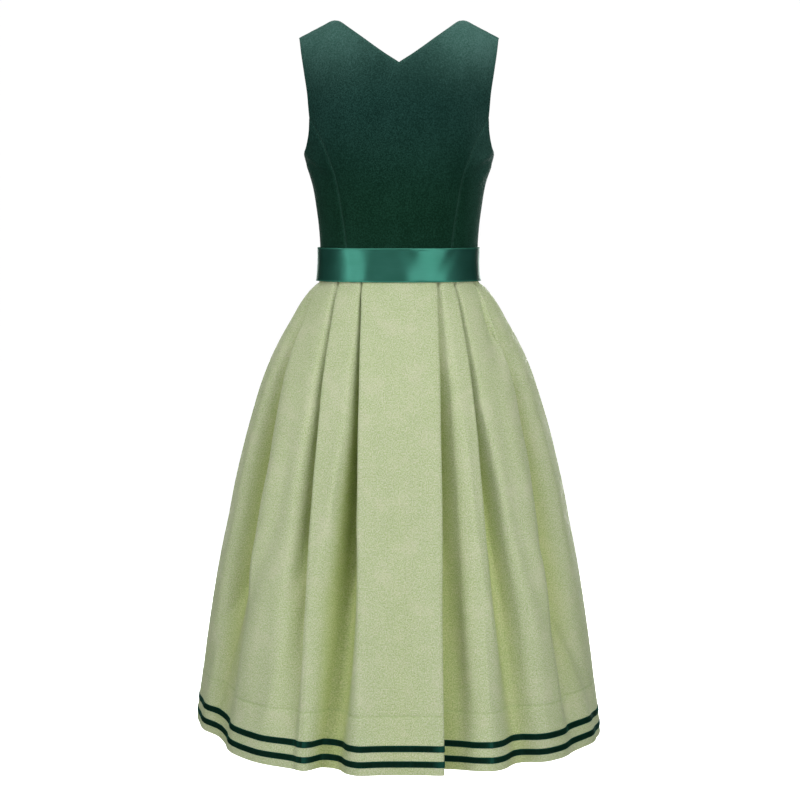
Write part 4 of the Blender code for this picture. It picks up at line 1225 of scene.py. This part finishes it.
# One repeat's leaves (place, turn in degrees, length, breadth) and curls (place, radius, and the
# turn of the open side), in metres from the rosette.
LEAVES = (
    ((-0.0100, 0.0075), 128, 0.0115, 0.0042), ((0.0100, -0.0075), -52, 0.0115, 0.0042),
    ((-0.0175, 0.0160), 60, 0.0100, 0.0036), ((0.0175, -0.0160), -120, 0.0100, 0.0036),
    ((0.0085, 0.0110), 35, 0.0120, 0.0044), ((-0.0085, -0.0110), 215, 0.0120, 0.0044),
    ((0.0030, 0.0225), 100, 0.0090, 0.0032), ((-0.0030, -0.0225), -80, 0.0090, 0.0032),
)
CURLS = (
    ((0.0165, 0.0035), 0.0028, 200), ((-0.0165, -0.0035), 0.0028, 20),
    ((0.0125, 0.0225), 0.0024, 250), ((-0.0125, -0.0225), 0.0024, 70),
)


def leaf(x, y, place, turn, length, breadth):
    """A pointed leaf: where two circles overlap.  Sizes in metres, turn in degrees."""
    cos, sin = math.cos(math.radians(turn)), math.sin(math.radians(turn))
    along = (x - place[0]) * cos + (y - place[1]) * sin
    off = ((y - place[1]) * cos - (x - place[0]) * sin).size()
    radius = (length ** 2 / 4 + breadth ** 2 / 4) / breadth
    off = off + (radius - breadth / 2)
    reach = (along * along + off * off) ** 0.5
    return 1.0 - reach.rising(radius - SOFT_EDGE, radius + SOFT_EDGE)


def curl(x, y, place, radius, open_turn):
    """A stem's curled end: a ring left open on one side."""
    dx, dy = x - place[0], y - place[1]
    off = ((dx * dx + dy * dy) ** 0.5 - radius).size()
    ring = 1.0 - off.rising(CURL_THICKNESS / 2, CURL_THICKNESS / 2 + 0.0004)
    cos, sin = math.cos(math.radians(open_turn)), math.sin(math.radians(open_turn))
    gap = (dx * cos + dy * sin).rising(radius * 0.45, radius * 0.7)
    return ring * (1.0 - gap)


def scroll_figure(flat_run):
    """One repeat of the figure, half dropped: a rosette, its scrolling stem, leaves and curls."""
    u, v, _ = flat_run.parts()
    column = (u / REPEAT_ACROSS).maths("FLOOR")
    odd = (column * 0.5).part_of_one()
    x = ((u / REPEAT_ACROSS).part_of_one() - 0.5) * REPEAT_ACROSS
    y = ((v / REPEAT_UP + odd).part_of_one() - 0.5) * REPEAT_UP
    reach = (x * x + y * y) ** 0.5
    petals = (y.maths("ARCTAN2", x) * PETALS).maths("COSINE") * PETAL_DEPTH + ROSETTE_RADIUS
    figure = 1.0 - (reach - petals).rising(-SOFT_EDGE, SOFT_EDGE)
    figure = figure * reach.rising(*ROSETTE_EYE)
    stem = (x + y.waves(REPEAT_UP) * STEM_SWING).size()
    figure = figure.most((1.0 - stem.rising(*STEM_EDGE)) * reach.rising(*STEM_START))
    for place, turn, length, breadth in LEAVES:
        figure = figure.most(leaf(x, y, place, turn, length, breadth))
    for place, radius, open_turn in CURLS:
        figure = figure.most(curl(x, y, place, radius, open_turn))
    return figure, u, v


def sage_jacquard():
    """Two-tone jacquard: a matt ground and a figure of shinier floats, flecked by its yarns.

    Painted shade darkens it deep in the folds and along the hem's line of stitches.
    """
    material, _, flat_run = begin_cloth("sage_jacquard")
    figure, u, v = scroll_figure(flat_run)
    warp = u.ribs(WARP_PITCH)
    weft = v.ribs(WEFT_PITCH)
    ribs = figure * warp + (1.0 - figure) * (warp * weft)
    fleck = flat_run.noise(590.0, 3.0, 0.8, stretch=(1.0, 0.8, 1.0))
    cloud = flat_run.noise(150.0, 2.0, 0.6)
    drift = flat_run.noise(24.0, 3.0, 0.6)
    outline = figure * (1.0 - figure) * 4.0
    colour = figure.dyed(JACQUARD_GROUND, JACQUARD_FIGURE)
    for unevenness, none_at, all_at, most, dye in (
            (fleck, 0.51, 0.61, 0.98, JACQUARD_WARP_FLECK),
            (fleck, 0.49, 0.38, 0.88, JACQUARD_WEFT_FLECK),
            (cloud, 0.62, 0.30, 0.14, JACQUARD_WEFT_FLECK),
            (drift, 0.48, 0.70, 0.26, JACQUARD_WARP_FLECK),
            (drift, 0.50, 0.30, 0.10, JACQUARD_WEFT_FLECK)):
        colour = (unevenness.rising(none_at, all_at) * most).dyed(colour, dye)
    colour = (outline * 0.28).dyed(colour, JACQUARD_WEFT_FLECK)
    # Painted shade deep in the folds: more dark flecks and a darker, yellower colour.
    painted_fold_shade = colour.share("painted_fold_shade")
    colour = (fleck.rising(0.52, 0.40) * painted_fold_shade * 0.42).dyed(colour, JACQUARD_WEFT_FLECK)
    colour = painted_fold_shade.dyed(colour, JACQUARD_PAINTED_FOLD_SHADE, "MULTIPLY")
    # Painted shade along the hem's line of stitches.
    colour = (colour.share("edges_and_painted_light") * 0.62).dyed(colour, JACQUARD_WEFT_FLECK)
    roughness = 0.60 - figure * 0.24 + fleck * 0.08
    relief = figure * 0.5 + ribs * 0.35 + fleck * 0.5
    return finish_cloth(material, colour, roughness, relief, bump_metres=0.00035, constants={
        "Specular IOR Level": 0.50, "Sheen Weight": 0.10, "Sheen Roughness": 0.5,
        "Sheen Tint": (0.85, 1.0, 0.75, 1.0)})


jacquard = sage_jacquard()
skirt_back_piece = skirt_half("skirt_back_cloth", "skirt_back", "back", (jacquard, jacquard))
skirt_front_piece = skirt_half("skirt_front_cloth", "skirt_front", "front", (jacquard, jacquard))


# ==== The ribbon round the waist ==============================================================
# Emerald satin ribbon, 51 mm wide with a fine corded selvedge at each edge.  It covers the seam
# between bodice and skirt, goes once round, and its end is lapped and sewn down at the front.

BAND_BOTTOM_Z = -383.7
BAND_THICKNESS = 1.0
BAND_CLEARANCE = 0.7
BAND_LAP = 30.0
BAND_LAP_RAMP = 14.0
SELVEDGE = 0.28
SELVEDGE_WIDTH = 1.3
SELVEDGE_INSET = 0.6
SELVEDGE_HIGHLIGHT_REACH = 0.9
BAND_WIDTH = 50.7
BAND_RIM = 0.25
LAP_GAP = 0.2
WAIST_HALF_WIDTH = 121.0
OVAL_MEAN_RADIUS = WAIST_HALF_WIDTH * 0.87
ROUND_COLUMNS = 420
LAP_COLUMNS = 26
STANDS_OFF_AT_LEFT = 2.6
STANDS_OFF_AT_RIGHT = 1.0
WAVES_STAND_OFF = 0.45
WAVES_FADE_IN = 6.0

# Long shallow waves of the satin, by degrees round from the centre back (right of it as
# positive) and height up the ribbon: breadth in degrees, how tall in millimetres, rise, slant
# in degrees to the millimetre up, and twist, by which one end of a wave rises over the other.
Wave = namedtuple("Wave", "turn height breadth tall rise slant twist")
BAND_WAVES = [Wave(*row) for row in (
    (-58, 24, 9, 40, 0.55, 0.20, 0.5), (-31.5, 20, 6, 34, -0.45, -0.25, -0.7),
    (-20, 30, 7, 44, 0.50, 0.30, -0.5), (10, 24, 8, 46, -0.10, 0.00, 1.5),
    (24, 28, 8, 44, 0.30, -0.30, 0.0), (34, 22, 6, 36, -0.40, 0.25, -0.6),
    (60, 26, 9, 40, 0.50, 0.25, 0.6), (92, 24, 11, 40, -0.45, 0.20, -0.5),
    (118, 26, 10, 38, 0.50, -0.25, 0.9), (143, 22, 9, 40, -0.45, 0.30, -0.8),
    (167, 26, 9, 40, 0.40, -0.20, 0.7), (194, 22, 11, 40, -0.40, 0.25, -1.1),
    (219, 26, 9, 36, 0.55, -0.30, 0.8), (246, 24, 10, 40, -0.50, 0.20, -0.6),
    (272, 26, 9, 40, 0.45, 0.25, 0.5),
)]


def waist_ellipse(z):
    """Half-width, back depth and front depth of what the ribbon goes round."""
    on_skirt = z < WAIST_SEAM_Z
    root_drop = np.sqrt(NECK_CENTRE_Z - z)
    return (np.where(on_skirt, skirt_half_width(z), bodice_half_width(z)),
            np.where(on_skirt, SKIRT_DEPTH["back"](z), DEPTH_BY_ROOT_DROP["back"](root_drop)),
            np.where(on_skirt, SKIRT_DEPTH["front"](z), DEPTH_BY_ROOT_DROP["front"](root_drop)))


SATIN_DEEP = (0.023, 0.112, 0.083)
SATIN_PALE = (0.032, 0.134, 0.104)
SATIN_PAINTED_SELVEDGE_HIGHLIGHT = (0.060, 0.270, 0.190)
SATIN_AT_GRAZING = (0.070, 0.190, 0.150, 1.0)
CORD_PITCH = 0.00045


def satin():
    """Warp-faced satin: smooth, with long fine floats along the ribbon that spread the gloss.

    A painted highlight runs along its selvedges.
    """
    material, _, flat_run = begin_cloth("emerald_satin")
    floats = flat_run.noise(900.0, 3.0, 0.6, stretch=(0.06, 1.0, 1.0))
    cloud = flat_run.noise(40.0, 2.0, 0.5, stretch=(0.5, 1.0, 1.0))
    cords = flat_run.parts()[1].ribs(CORD_PITCH)
    shade = floats * 0.25 + cloud * 0.5 + cords * 0.1
    colour = shade.rising(0.25, 0.70).dyed(SATIN_DEEP, SATIN_PALE)
    # Painted highlight along the selvedges, where the cords catch the light.
    edge = colour.share("edges_and_painted_light")
    colour = (edge * 0.70).dyed(colour, SATIN_PAINTED_SELVEDGE_HIGHLIGHT)
    roughness = floats * 0.04 + edge * 0.2 + 0.30
    relief = floats * 0.7 + cords * 0.3
    return finish_cloth(material, colour, roughness, relief, bump_metres=0.000003, constants={
        "Metallic": 0.74, "Specular IOR Level": 0.35, "Specular Tint": SATIN_AT_GRAZING,
        "Anisotropic": 0.25})


band_heights = np.array([0.0, 0.4, 0.9, 1.4, 2.0, 3.0] + list(np.linspace(5.0, 45.7, 18))
                        + [47.7, 48.7, 49.3, 49.8, 50.3, BAND_WIDTH])
band_z = BAND_BOTTOM_Z + band_heights
half_width, back_depth, front_depth = (part[:, None] for part in waist_ellipse(band_z))
lap = BAND_LAP / WAIST_HALF_WIDTH
ramp = BAND_LAP_RAMP / WAIST_HALF_WIDTH
travel = np.concatenate((np.linspace(0, 2 * math.pi, ROUND_COLUMNS, endpoint=False),
                         np.linspace(2 * math.pi, 2 * math.pi + lap, LAP_COLUMNS)))[None]
angle = math.pi / 2 + travel
forward = np.sin(angle)
depth = np.where(forward > 0, front_depth, back_depth)
out = np.stack((np.cos(angle) / half_width, forward / depth, np.zeros_like(depth)), -1)
out /= np.linalg.norm(out, axis=-1, keepdims=True)
raised = eased((travel - 2 * math.pi + ramp) / ramp) * (BAND_THICKNESS + LAP_GAP)
level = np.broadcast_to(band_heights[:, None], depth.shape)
turn = np.degrees(travel) - 180.0
turn = np.broadcast_to(np.where(turn < -90, turn + 360, turn), depth.shape)
wave_rise = np.zeros_like(depth)
for wave in BAND_WAVES:
    off = (turn - wave.turn - wave.slant * (level - wave.height)) / wave.breadth
    wave_rise += wave.rise * np.exp(-off ** 2 - ((level - wave.height) / wave.tall) ** 4)
    wave_rise += wave.twist * off * (level - wave.height) / 20 * swell(off)
from_edge = np.minimum(level, BAND_WIDTH - level)
selvedge = SELVEDGE * swell((from_edge - SELVEDGE_INSET) / (SELVEDGE_WIDTH / 2))
at_sides = np.where(np.cos(angle) < 0, STANDS_OFF_AT_LEFT, STANDS_OFF_AT_RIGHT)
at_sides = np.sin(angle - math.pi / 2) ** 2 * at_sides
lift = BAND_CLEARANCE + raised + at_sides
lift = lift + (wave_rise + WAVES_STAND_OFF) * eased(from_edge / WAVES_FADE_IN)
band_base = np.stack((half_width * np.cos(angle), depth * forward,
                      np.broadcast_to(band_z[:, None], depth.shape)), -1)
band_outer = band_base + out * (lift + BAND_THICKNESS + selvedge)[..., None]
band_inner = band_base + out * (lift - selvedge * 0.3)[..., None]
band_run = np.stack((np.broadcast_to(travel * OVAL_MEAN_RADIUS, depth.shape), level), -1)
# Where the painted highlight lies along the ribbon's two selvedges.
band_painted_highlight = swell((from_edge - SELVEDGE_INSET) / SELVEDGE_HIGHLIGHT_REACH)
waist_ribbon = cloth_shell("waist_ribbon", band_outer, band_inner, BAND_RIM, (satin(),),
                           {"edges_and_painted_light": band_painted_highlight}, band_run, face_out=True)
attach(waist_ribbon, "root")
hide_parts("waist_band")


# ==== The two ribbons round the hem ===========================================================
# Narrow velvet ribbon, nearly black green, laid flat on the skirt round its hem and sewn down
# along both woven edges.  Each starts and ends at the left side seam.

RIBBON_THICKNESS = 0.75
RIBBON_CLEARANCE = 0.08
RIBBON_WIDTH = 9.0
RIBBON_LOW_EDGES = {"lower": 11.0, "upper": 33.0}
RIBBON_RIM = 0.15
ROWS_BEYOND = 1.5
WOVEN_EDGE = 0.8
PILE_AT_EDGE = 0.55
PILE_EDGE = 1.1
RIBBON_DEEP = (0.0005, 0.0085, 0.0035)
RIBBON_PALE = (0.0040, 0.0300, 0.0190)
RIBBON_EDGE_AND_PAINTED_SHEEN = (0.0090, 0.0700, 0.0500)
SHARP_BEND = 0.10
BEND_PAINTED_SHEEN = 0.75


def ribbon_velvet():
    """Short dense pile across a narrow ribbon, paler along its woven edges.

    Where it bends, a painted sheen stands for the pile's tips catching the light.
    """
    material, place, flat_run = begin_cloth("ribbon_velvet")
    tips = place.noise(1700.0, 2.0, 0.6)
    rows = flat_run.noise(620.0, 2.0, 0.6, stretch=(1.0, 0.22, 1.0))
    bends = flat_run.noise(26.0, 2.0, 0.5, stretch=(1.0, 0.1, 1.0))
    shade = tips * 0.35 + rows * 0.40 + bends * 0.30 - 0.05
    colour = shade.rising(0.28, 0.85).dyed(RIBBON_DEEP, RIBBON_PALE)
    # Paler along the woven edges, and painted sheen where the ribbon bends.
    colour = (colour.share("edges_and_painted_light") * 0.8).dyed(colour, RIBBON_EDGE_AND_PAINTED_SHEEN)
    roughness = rows * 0.2 + 0.6
    relief = tips * 0.5 + rows * 0.5
    return finish_cloth(material, colour, roughness, relief, bump_metres=0.0003, constants={
        "Specular IOR Level": 0.04, "Sheen Weight": 0.30, "Sheen Roughness": 0.16,
        "Sheen Tint": (0.10, 0.85, 0.60, 1.0)})


hem_velvet = ribbon_velvet()
hem_ribbons = {}
for ribbon_name, low in RIBBON_LOW_EDGES.items():
    offsets = np.array([0.0, 0.35, 0.9, 1.8, 3.0, 4.5, 6.0, 7.2, 8.1, 8.65, RIBBON_WIDTH])
    heights = np.concatenate(([-ROWS_BEYOND], offsets, [RIBBON_WIDTH + ROWS_BEYOND])) + low
    half_rings = [skirt_surface(face, heights)[0] for face in ("back", "front")]
    ring = np.concatenate((half_rings[0], half_rings[1][:, 1:]), axis=1)
    wrapped = np.concatenate((ring[:, -2:-1], ring, ring[:, 1:2]), axis=1)
    normals = grid_normals(wrapped)[1:-1, 1:-1]
    ring = ring[1:-1]
    ring[:, -1] = (ring[:, -2] + ring[:, -1]) / 2
    from_edge = np.minimum(offsets, RIBBON_WIDTH - offsets)
    pile = RIBBON_THICKNESS * between(PILE_AT_EDGE, 1.0, eased(from_edge / PILE_EDGE))
    base = SKIRT_THICKNESS / 2 + RIBBON_CLEARANCE
    outer = ring + normals * (base + pile)[:, None, None]
    inner = ring + normals * base
    mid_row = len(offsets) // 2
    run = length_along(ring[mid_row])
    flat_run = np.stack(np.broadcast_arrays(run[None], offsets[:, None]), -1)
    # How sharply the ribbon bends along its length, for the painted sheen at the bends.
    turning = np.linalg.norm(np.gradient(normals[mid_row], axis=0), axis=1)
    turning /= np.maximum(np.gradient(run), 0.05)
    weights = swell(np.arange(-6, 7) / 3.0)
    bent = eased(np.convolve(turning, weights / weights.sum(), "same") / SHARP_BEND - 0.25)
    edge_and_painted_light_share = np.maximum(swell(from_edge / WOVEN_EDGE)[:, None], BEND_PAINTED_SHEEN * bent[None])
    ribbon = cloth_shell("hem_ribbon_" + ribbon_name + "_velvet", outer, inner, RIBBON_RIM,
                         (hem_velvet,), {"edges_and_painted_light": edge_and_painted_light_share}, flat_run, face_out=True)
    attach(ribbon, "root")
    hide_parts("hem_ribbon_" + ribbon_name)
    hem_ribbons[ribbon_name] = (ribbon, float(run[-1]))


# ==== The stitches ============================================================================
# Sewing thread: pricks that catch down the turned-up hem, two rows along each hem ribbon, and
# the row that closes the lapped end of the waist ribbon.

Stitch = namedtuple("Stitch", "spacing length width height seed")
HEM_STITCH = Stitch(HEM_STITCH_PITCH, 1.5, 0.42, 0.35, 5)
RIBBON_STITCH = Stitch(2.9, 2.1, 0.32, 0.25, 7)
LAP_STITCH = Stitch(3.2, 2.0, 0.38, 0.3, 9)
RIBBON_STITCH_INSET = 0.9
RIBBON_STITCH_SUNK = 0.78
HEM_STITCH_STANDS_OFF = 0.02
LAP_STITCH_CELLS_IN = 4
SMALLEST_STITCH = (0.82, 0.90, 0.85)
LARGEST_STITCH = (1.12, 1.10, 1.15)
TWIST_PITCH = 0.0004
SAGE_THREAD_DEEP = (0.22, 0.29, 0.13)
SAGE_THREAD_PALE = (0.36, 0.43, 0.23)
GREEN_THREAD_DEEP = (0.003, 0.030, 0.021)
GREEN_THREAD_PALE = (0.010, 0.075, 0.055)


def stitch_rows_tree(name, thread):
    """Stitches set out along every line of a mesh, lying on the cloth under them."""
    tree = bpy.data.node_groups.new(name, "GeometryNodeTree")
    face = tree.interface
    face.new_socket("Lines", in_out="INPUT", socket_type="NodeSocketGeometry")
    for socket_name in ("Spacing", "Length", "Width", "Height"):
        face.new_socket(socket_name, in_out="INPUT", socket_type="NodeSocketFloat")
    face.new_socket("Seed", in_out="INPUT", socket_type="NodeSocketInt")
    face.new_socket("Stitches", in_out="OUTPUT", socket_type="NodeSocketGeometry")

    def add(kind, settings=None, links=None, values=None):
        made = tree.nodes.new(kind)
        for setting, value in (settings or {}).items():
            setattr(made, setting, value)
        for socket_name, value in (values or {}).items():
            made.inputs[socket_name].default_value = value
        for socket_name, source in (links or {}).items():
            tree.links.new(source, made.inputs[socket_name])
        return made

    given = add("NodeGroupInput").outputs
    lines = add("GeometryNodeMeshToCurve", links={"Mesh": given["Lines"]})
    spaced = add("GeometryNodeResampleCurve", {"mode": "LENGTH"},
                 {"Curve": lines.outputs[0], "Length": given["Spacing"]})
    along = add("GeometryNodeInputTangent").outputs[0]
    out_of_cloth = add("GeometryNodeInputNamedAttribute", {"data_type": "FLOAT_VECTOR"},
                       values={"Name": "out_of_cloth"}).outputs["Attribute"]
    turned = add("FunctionNodeAxesToRotation", {"primary_axis": "Z", "secondary_axis": "X"},
                 {"Primary Axis": out_of_cloth, "Secondary Axis": along})
    thread_size = add("ShaderNodeCombineXYZ", links={
        "X": given["Length"], "Y": given["Width"], "Z": given["Height"]})
    uneven = add("FunctionNodeRandomValue", {"data_type": "FLOAT_VECTOR"}, {"Seed": given["Seed"]})
    uneven.inputs["Min"].default_value = SMALLEST_STITCH
    uneven.inputs["Max"].default_value = LARGEST_STITCH
    sized = add("ShaderNodeVectorMath", {"operation": "MULTIPLY"},
                {0: thread_size.outputs[0], 1: uneven.outputs[0]})
    stitch = add("GeometryNodeMeshUVSphere", values={"Segments": 6, "Rings": 4, "Radius": 0.5})
    smooth = add("GeometryNodeSetShadeSmooth", links={"Geometry": stitch.outputs[0]})
    placed = add("GeometryNodeInstanceOnPoints", links={
        "Points": spaced.outputs[0], "Instance": smooth.outputs[0],
        "Rotation": turned.outputs[0], "Scale": sized.outputs[0]})
    real = add("GeometryNodeRealizeInstances", links={"Geometry": placed.outputs[0]})
    dyed = add("GeometryNodeSetMaterial", links={"Geometry": real.outputs[0]})
    dyed.inputs["Material"].default_value = thread
    tree.links.new(dyed.outputs[0], add("NodeGroupOutput").inputs[0])
    return tree


def sewn_rows(name, rows, thread, stitch):
    """Rows of stitches; each row is its points and the cloth's outward direction there."""
    mesh = bpy.data.meshes.new(name)
    points = np.concatenate([row[0] for row in rows]) * MM
    edges = []
    first = 0
    for row_points, _ in rows:
        edges += [(i, i + 1) for i in range(first, first + len(row_points) - 1)]
        first += len(row_points)
    mesh.from_pydata(points.tolist(), edges, [])
    outward = mesh.attributes.new("out_of_cloth", "FLOAT_VECTOR", "POINT")
    outward.data.foreach_set("vector", np.concatenate([row[1] for row in rows])
                             .astype(np.float32).reshape(-1))
    piece = bpy.data.objects.new(name, mesh)
    scene.collection.objects.link(piece)
    tree = stitch_rows_tree(name + "_rows", thread)
    modifier = piece.modifiers.new("stitches", "NODES")
    modifier.node_group = tree
    inputs = {"Spacing": stitch.spacing * MM, "Length": stitch.length * MM,
              "Width": stitch.width * MM, "Height": stitch.height * MM, "Seed": stitch.seed}
    for item in tree.interface.items_tree:
        if item.in_out == "INPUT" and item.name in inputs:
            modifier[item.identifier] = inputs[item.name]
    depsgraph = bpy.context.evaluated_depsgraph_get()
    stitched = bpy.data.meshes.new_from_object(piece.evaluated_get(depsgraph), depsgraph=depsgraph)
    piece.modifiers.clear()
    piece.data = stitched
    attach(piece, "root")
    return piece


def sewing_thread(name, deep, pale):
    """Two-ply thread, its twist showing as fine slanting bands."""
    material, place, _ = begin_cloth(name)
    across, _, up = place.parts()
    twist = (across + up).ribs(TWIST_PITCH)
    hairs = place.noise(2600.0, 2.0, 0.6)
    colour = (twist * 0.6 + hairs * 0.4).dyed(deep, pale)
    roughness = hairs * 0.15 + 0.5
    return finish_cloth(material, colour, roughness, twist, bump_metres=0.00005, constants={
        "Specular IOR Level": 0.35})


sage_thread = sewing_thread("sage_thread", SAGE_THREAD_DEEP, SAGE_THREAD_PALE)
green_thread = sewing_thread("green_thread", GREEN_THREAD_DEEP, GREEN_THREAD_PALE)


def row_on_skirt(face, height, off_cloth):
    """A line on the skirt's outside at a height above the hem."""
    heights = np.array([height - 1.0, height, height + 1.0])
    middle = skirt_surface(face, heights)[0]
    normals = grid_normals(middle)[1]
    return middle[1] + normals * (SKIRT_THICKNESS / 2 + off_cloth), normals


hem_rows = [row_on_skirt(face, HEM_DEPTH, HEM_STITCH_STANDS_OFF) for face in ("back", "front")]
hem_stitches = sewn_rows("hem_stitches", hem_rows, sage_thread, HEM_STITCH)
for ribbon_name, low in RIBBON_LOW_EDGES.items():
    high = low + RIBBON_WIDTH
    rows = [row_on_skirt(face, height, RIBBON_CLEARANCE + RIBBON_THICKNESS * RIBBON_STITCH_SUNK)
            for height in (low + RIBBON_STITCH_INSET, high - RIBBON_STITCH_INSET)
            for face in ("back", "front")]
    ribbon_stitches = sewn_rows("hem_ribbon_" + ribbon_name + "_stitches", rows, green_thread,
                                RIBBON_STITCH)
    ribbon, ribbon_length = hem_ribbons[ribbon_name]

lap_column = band_outer.shape[1] - LAP_STITCH_CELLS_IN
lap_points = band_outer[LAP_STITCH_CELLS_IN:-LAP_STITCH_CELLS_IN, lap_column]
lap_row = (lap_points, np.broadcast_to(out[0, lap_column], lap_points.shape))
lap_stitches = sewn_rows("waist_ribbon_stitches", [lap_row], green_thread, LAP_STITCH)
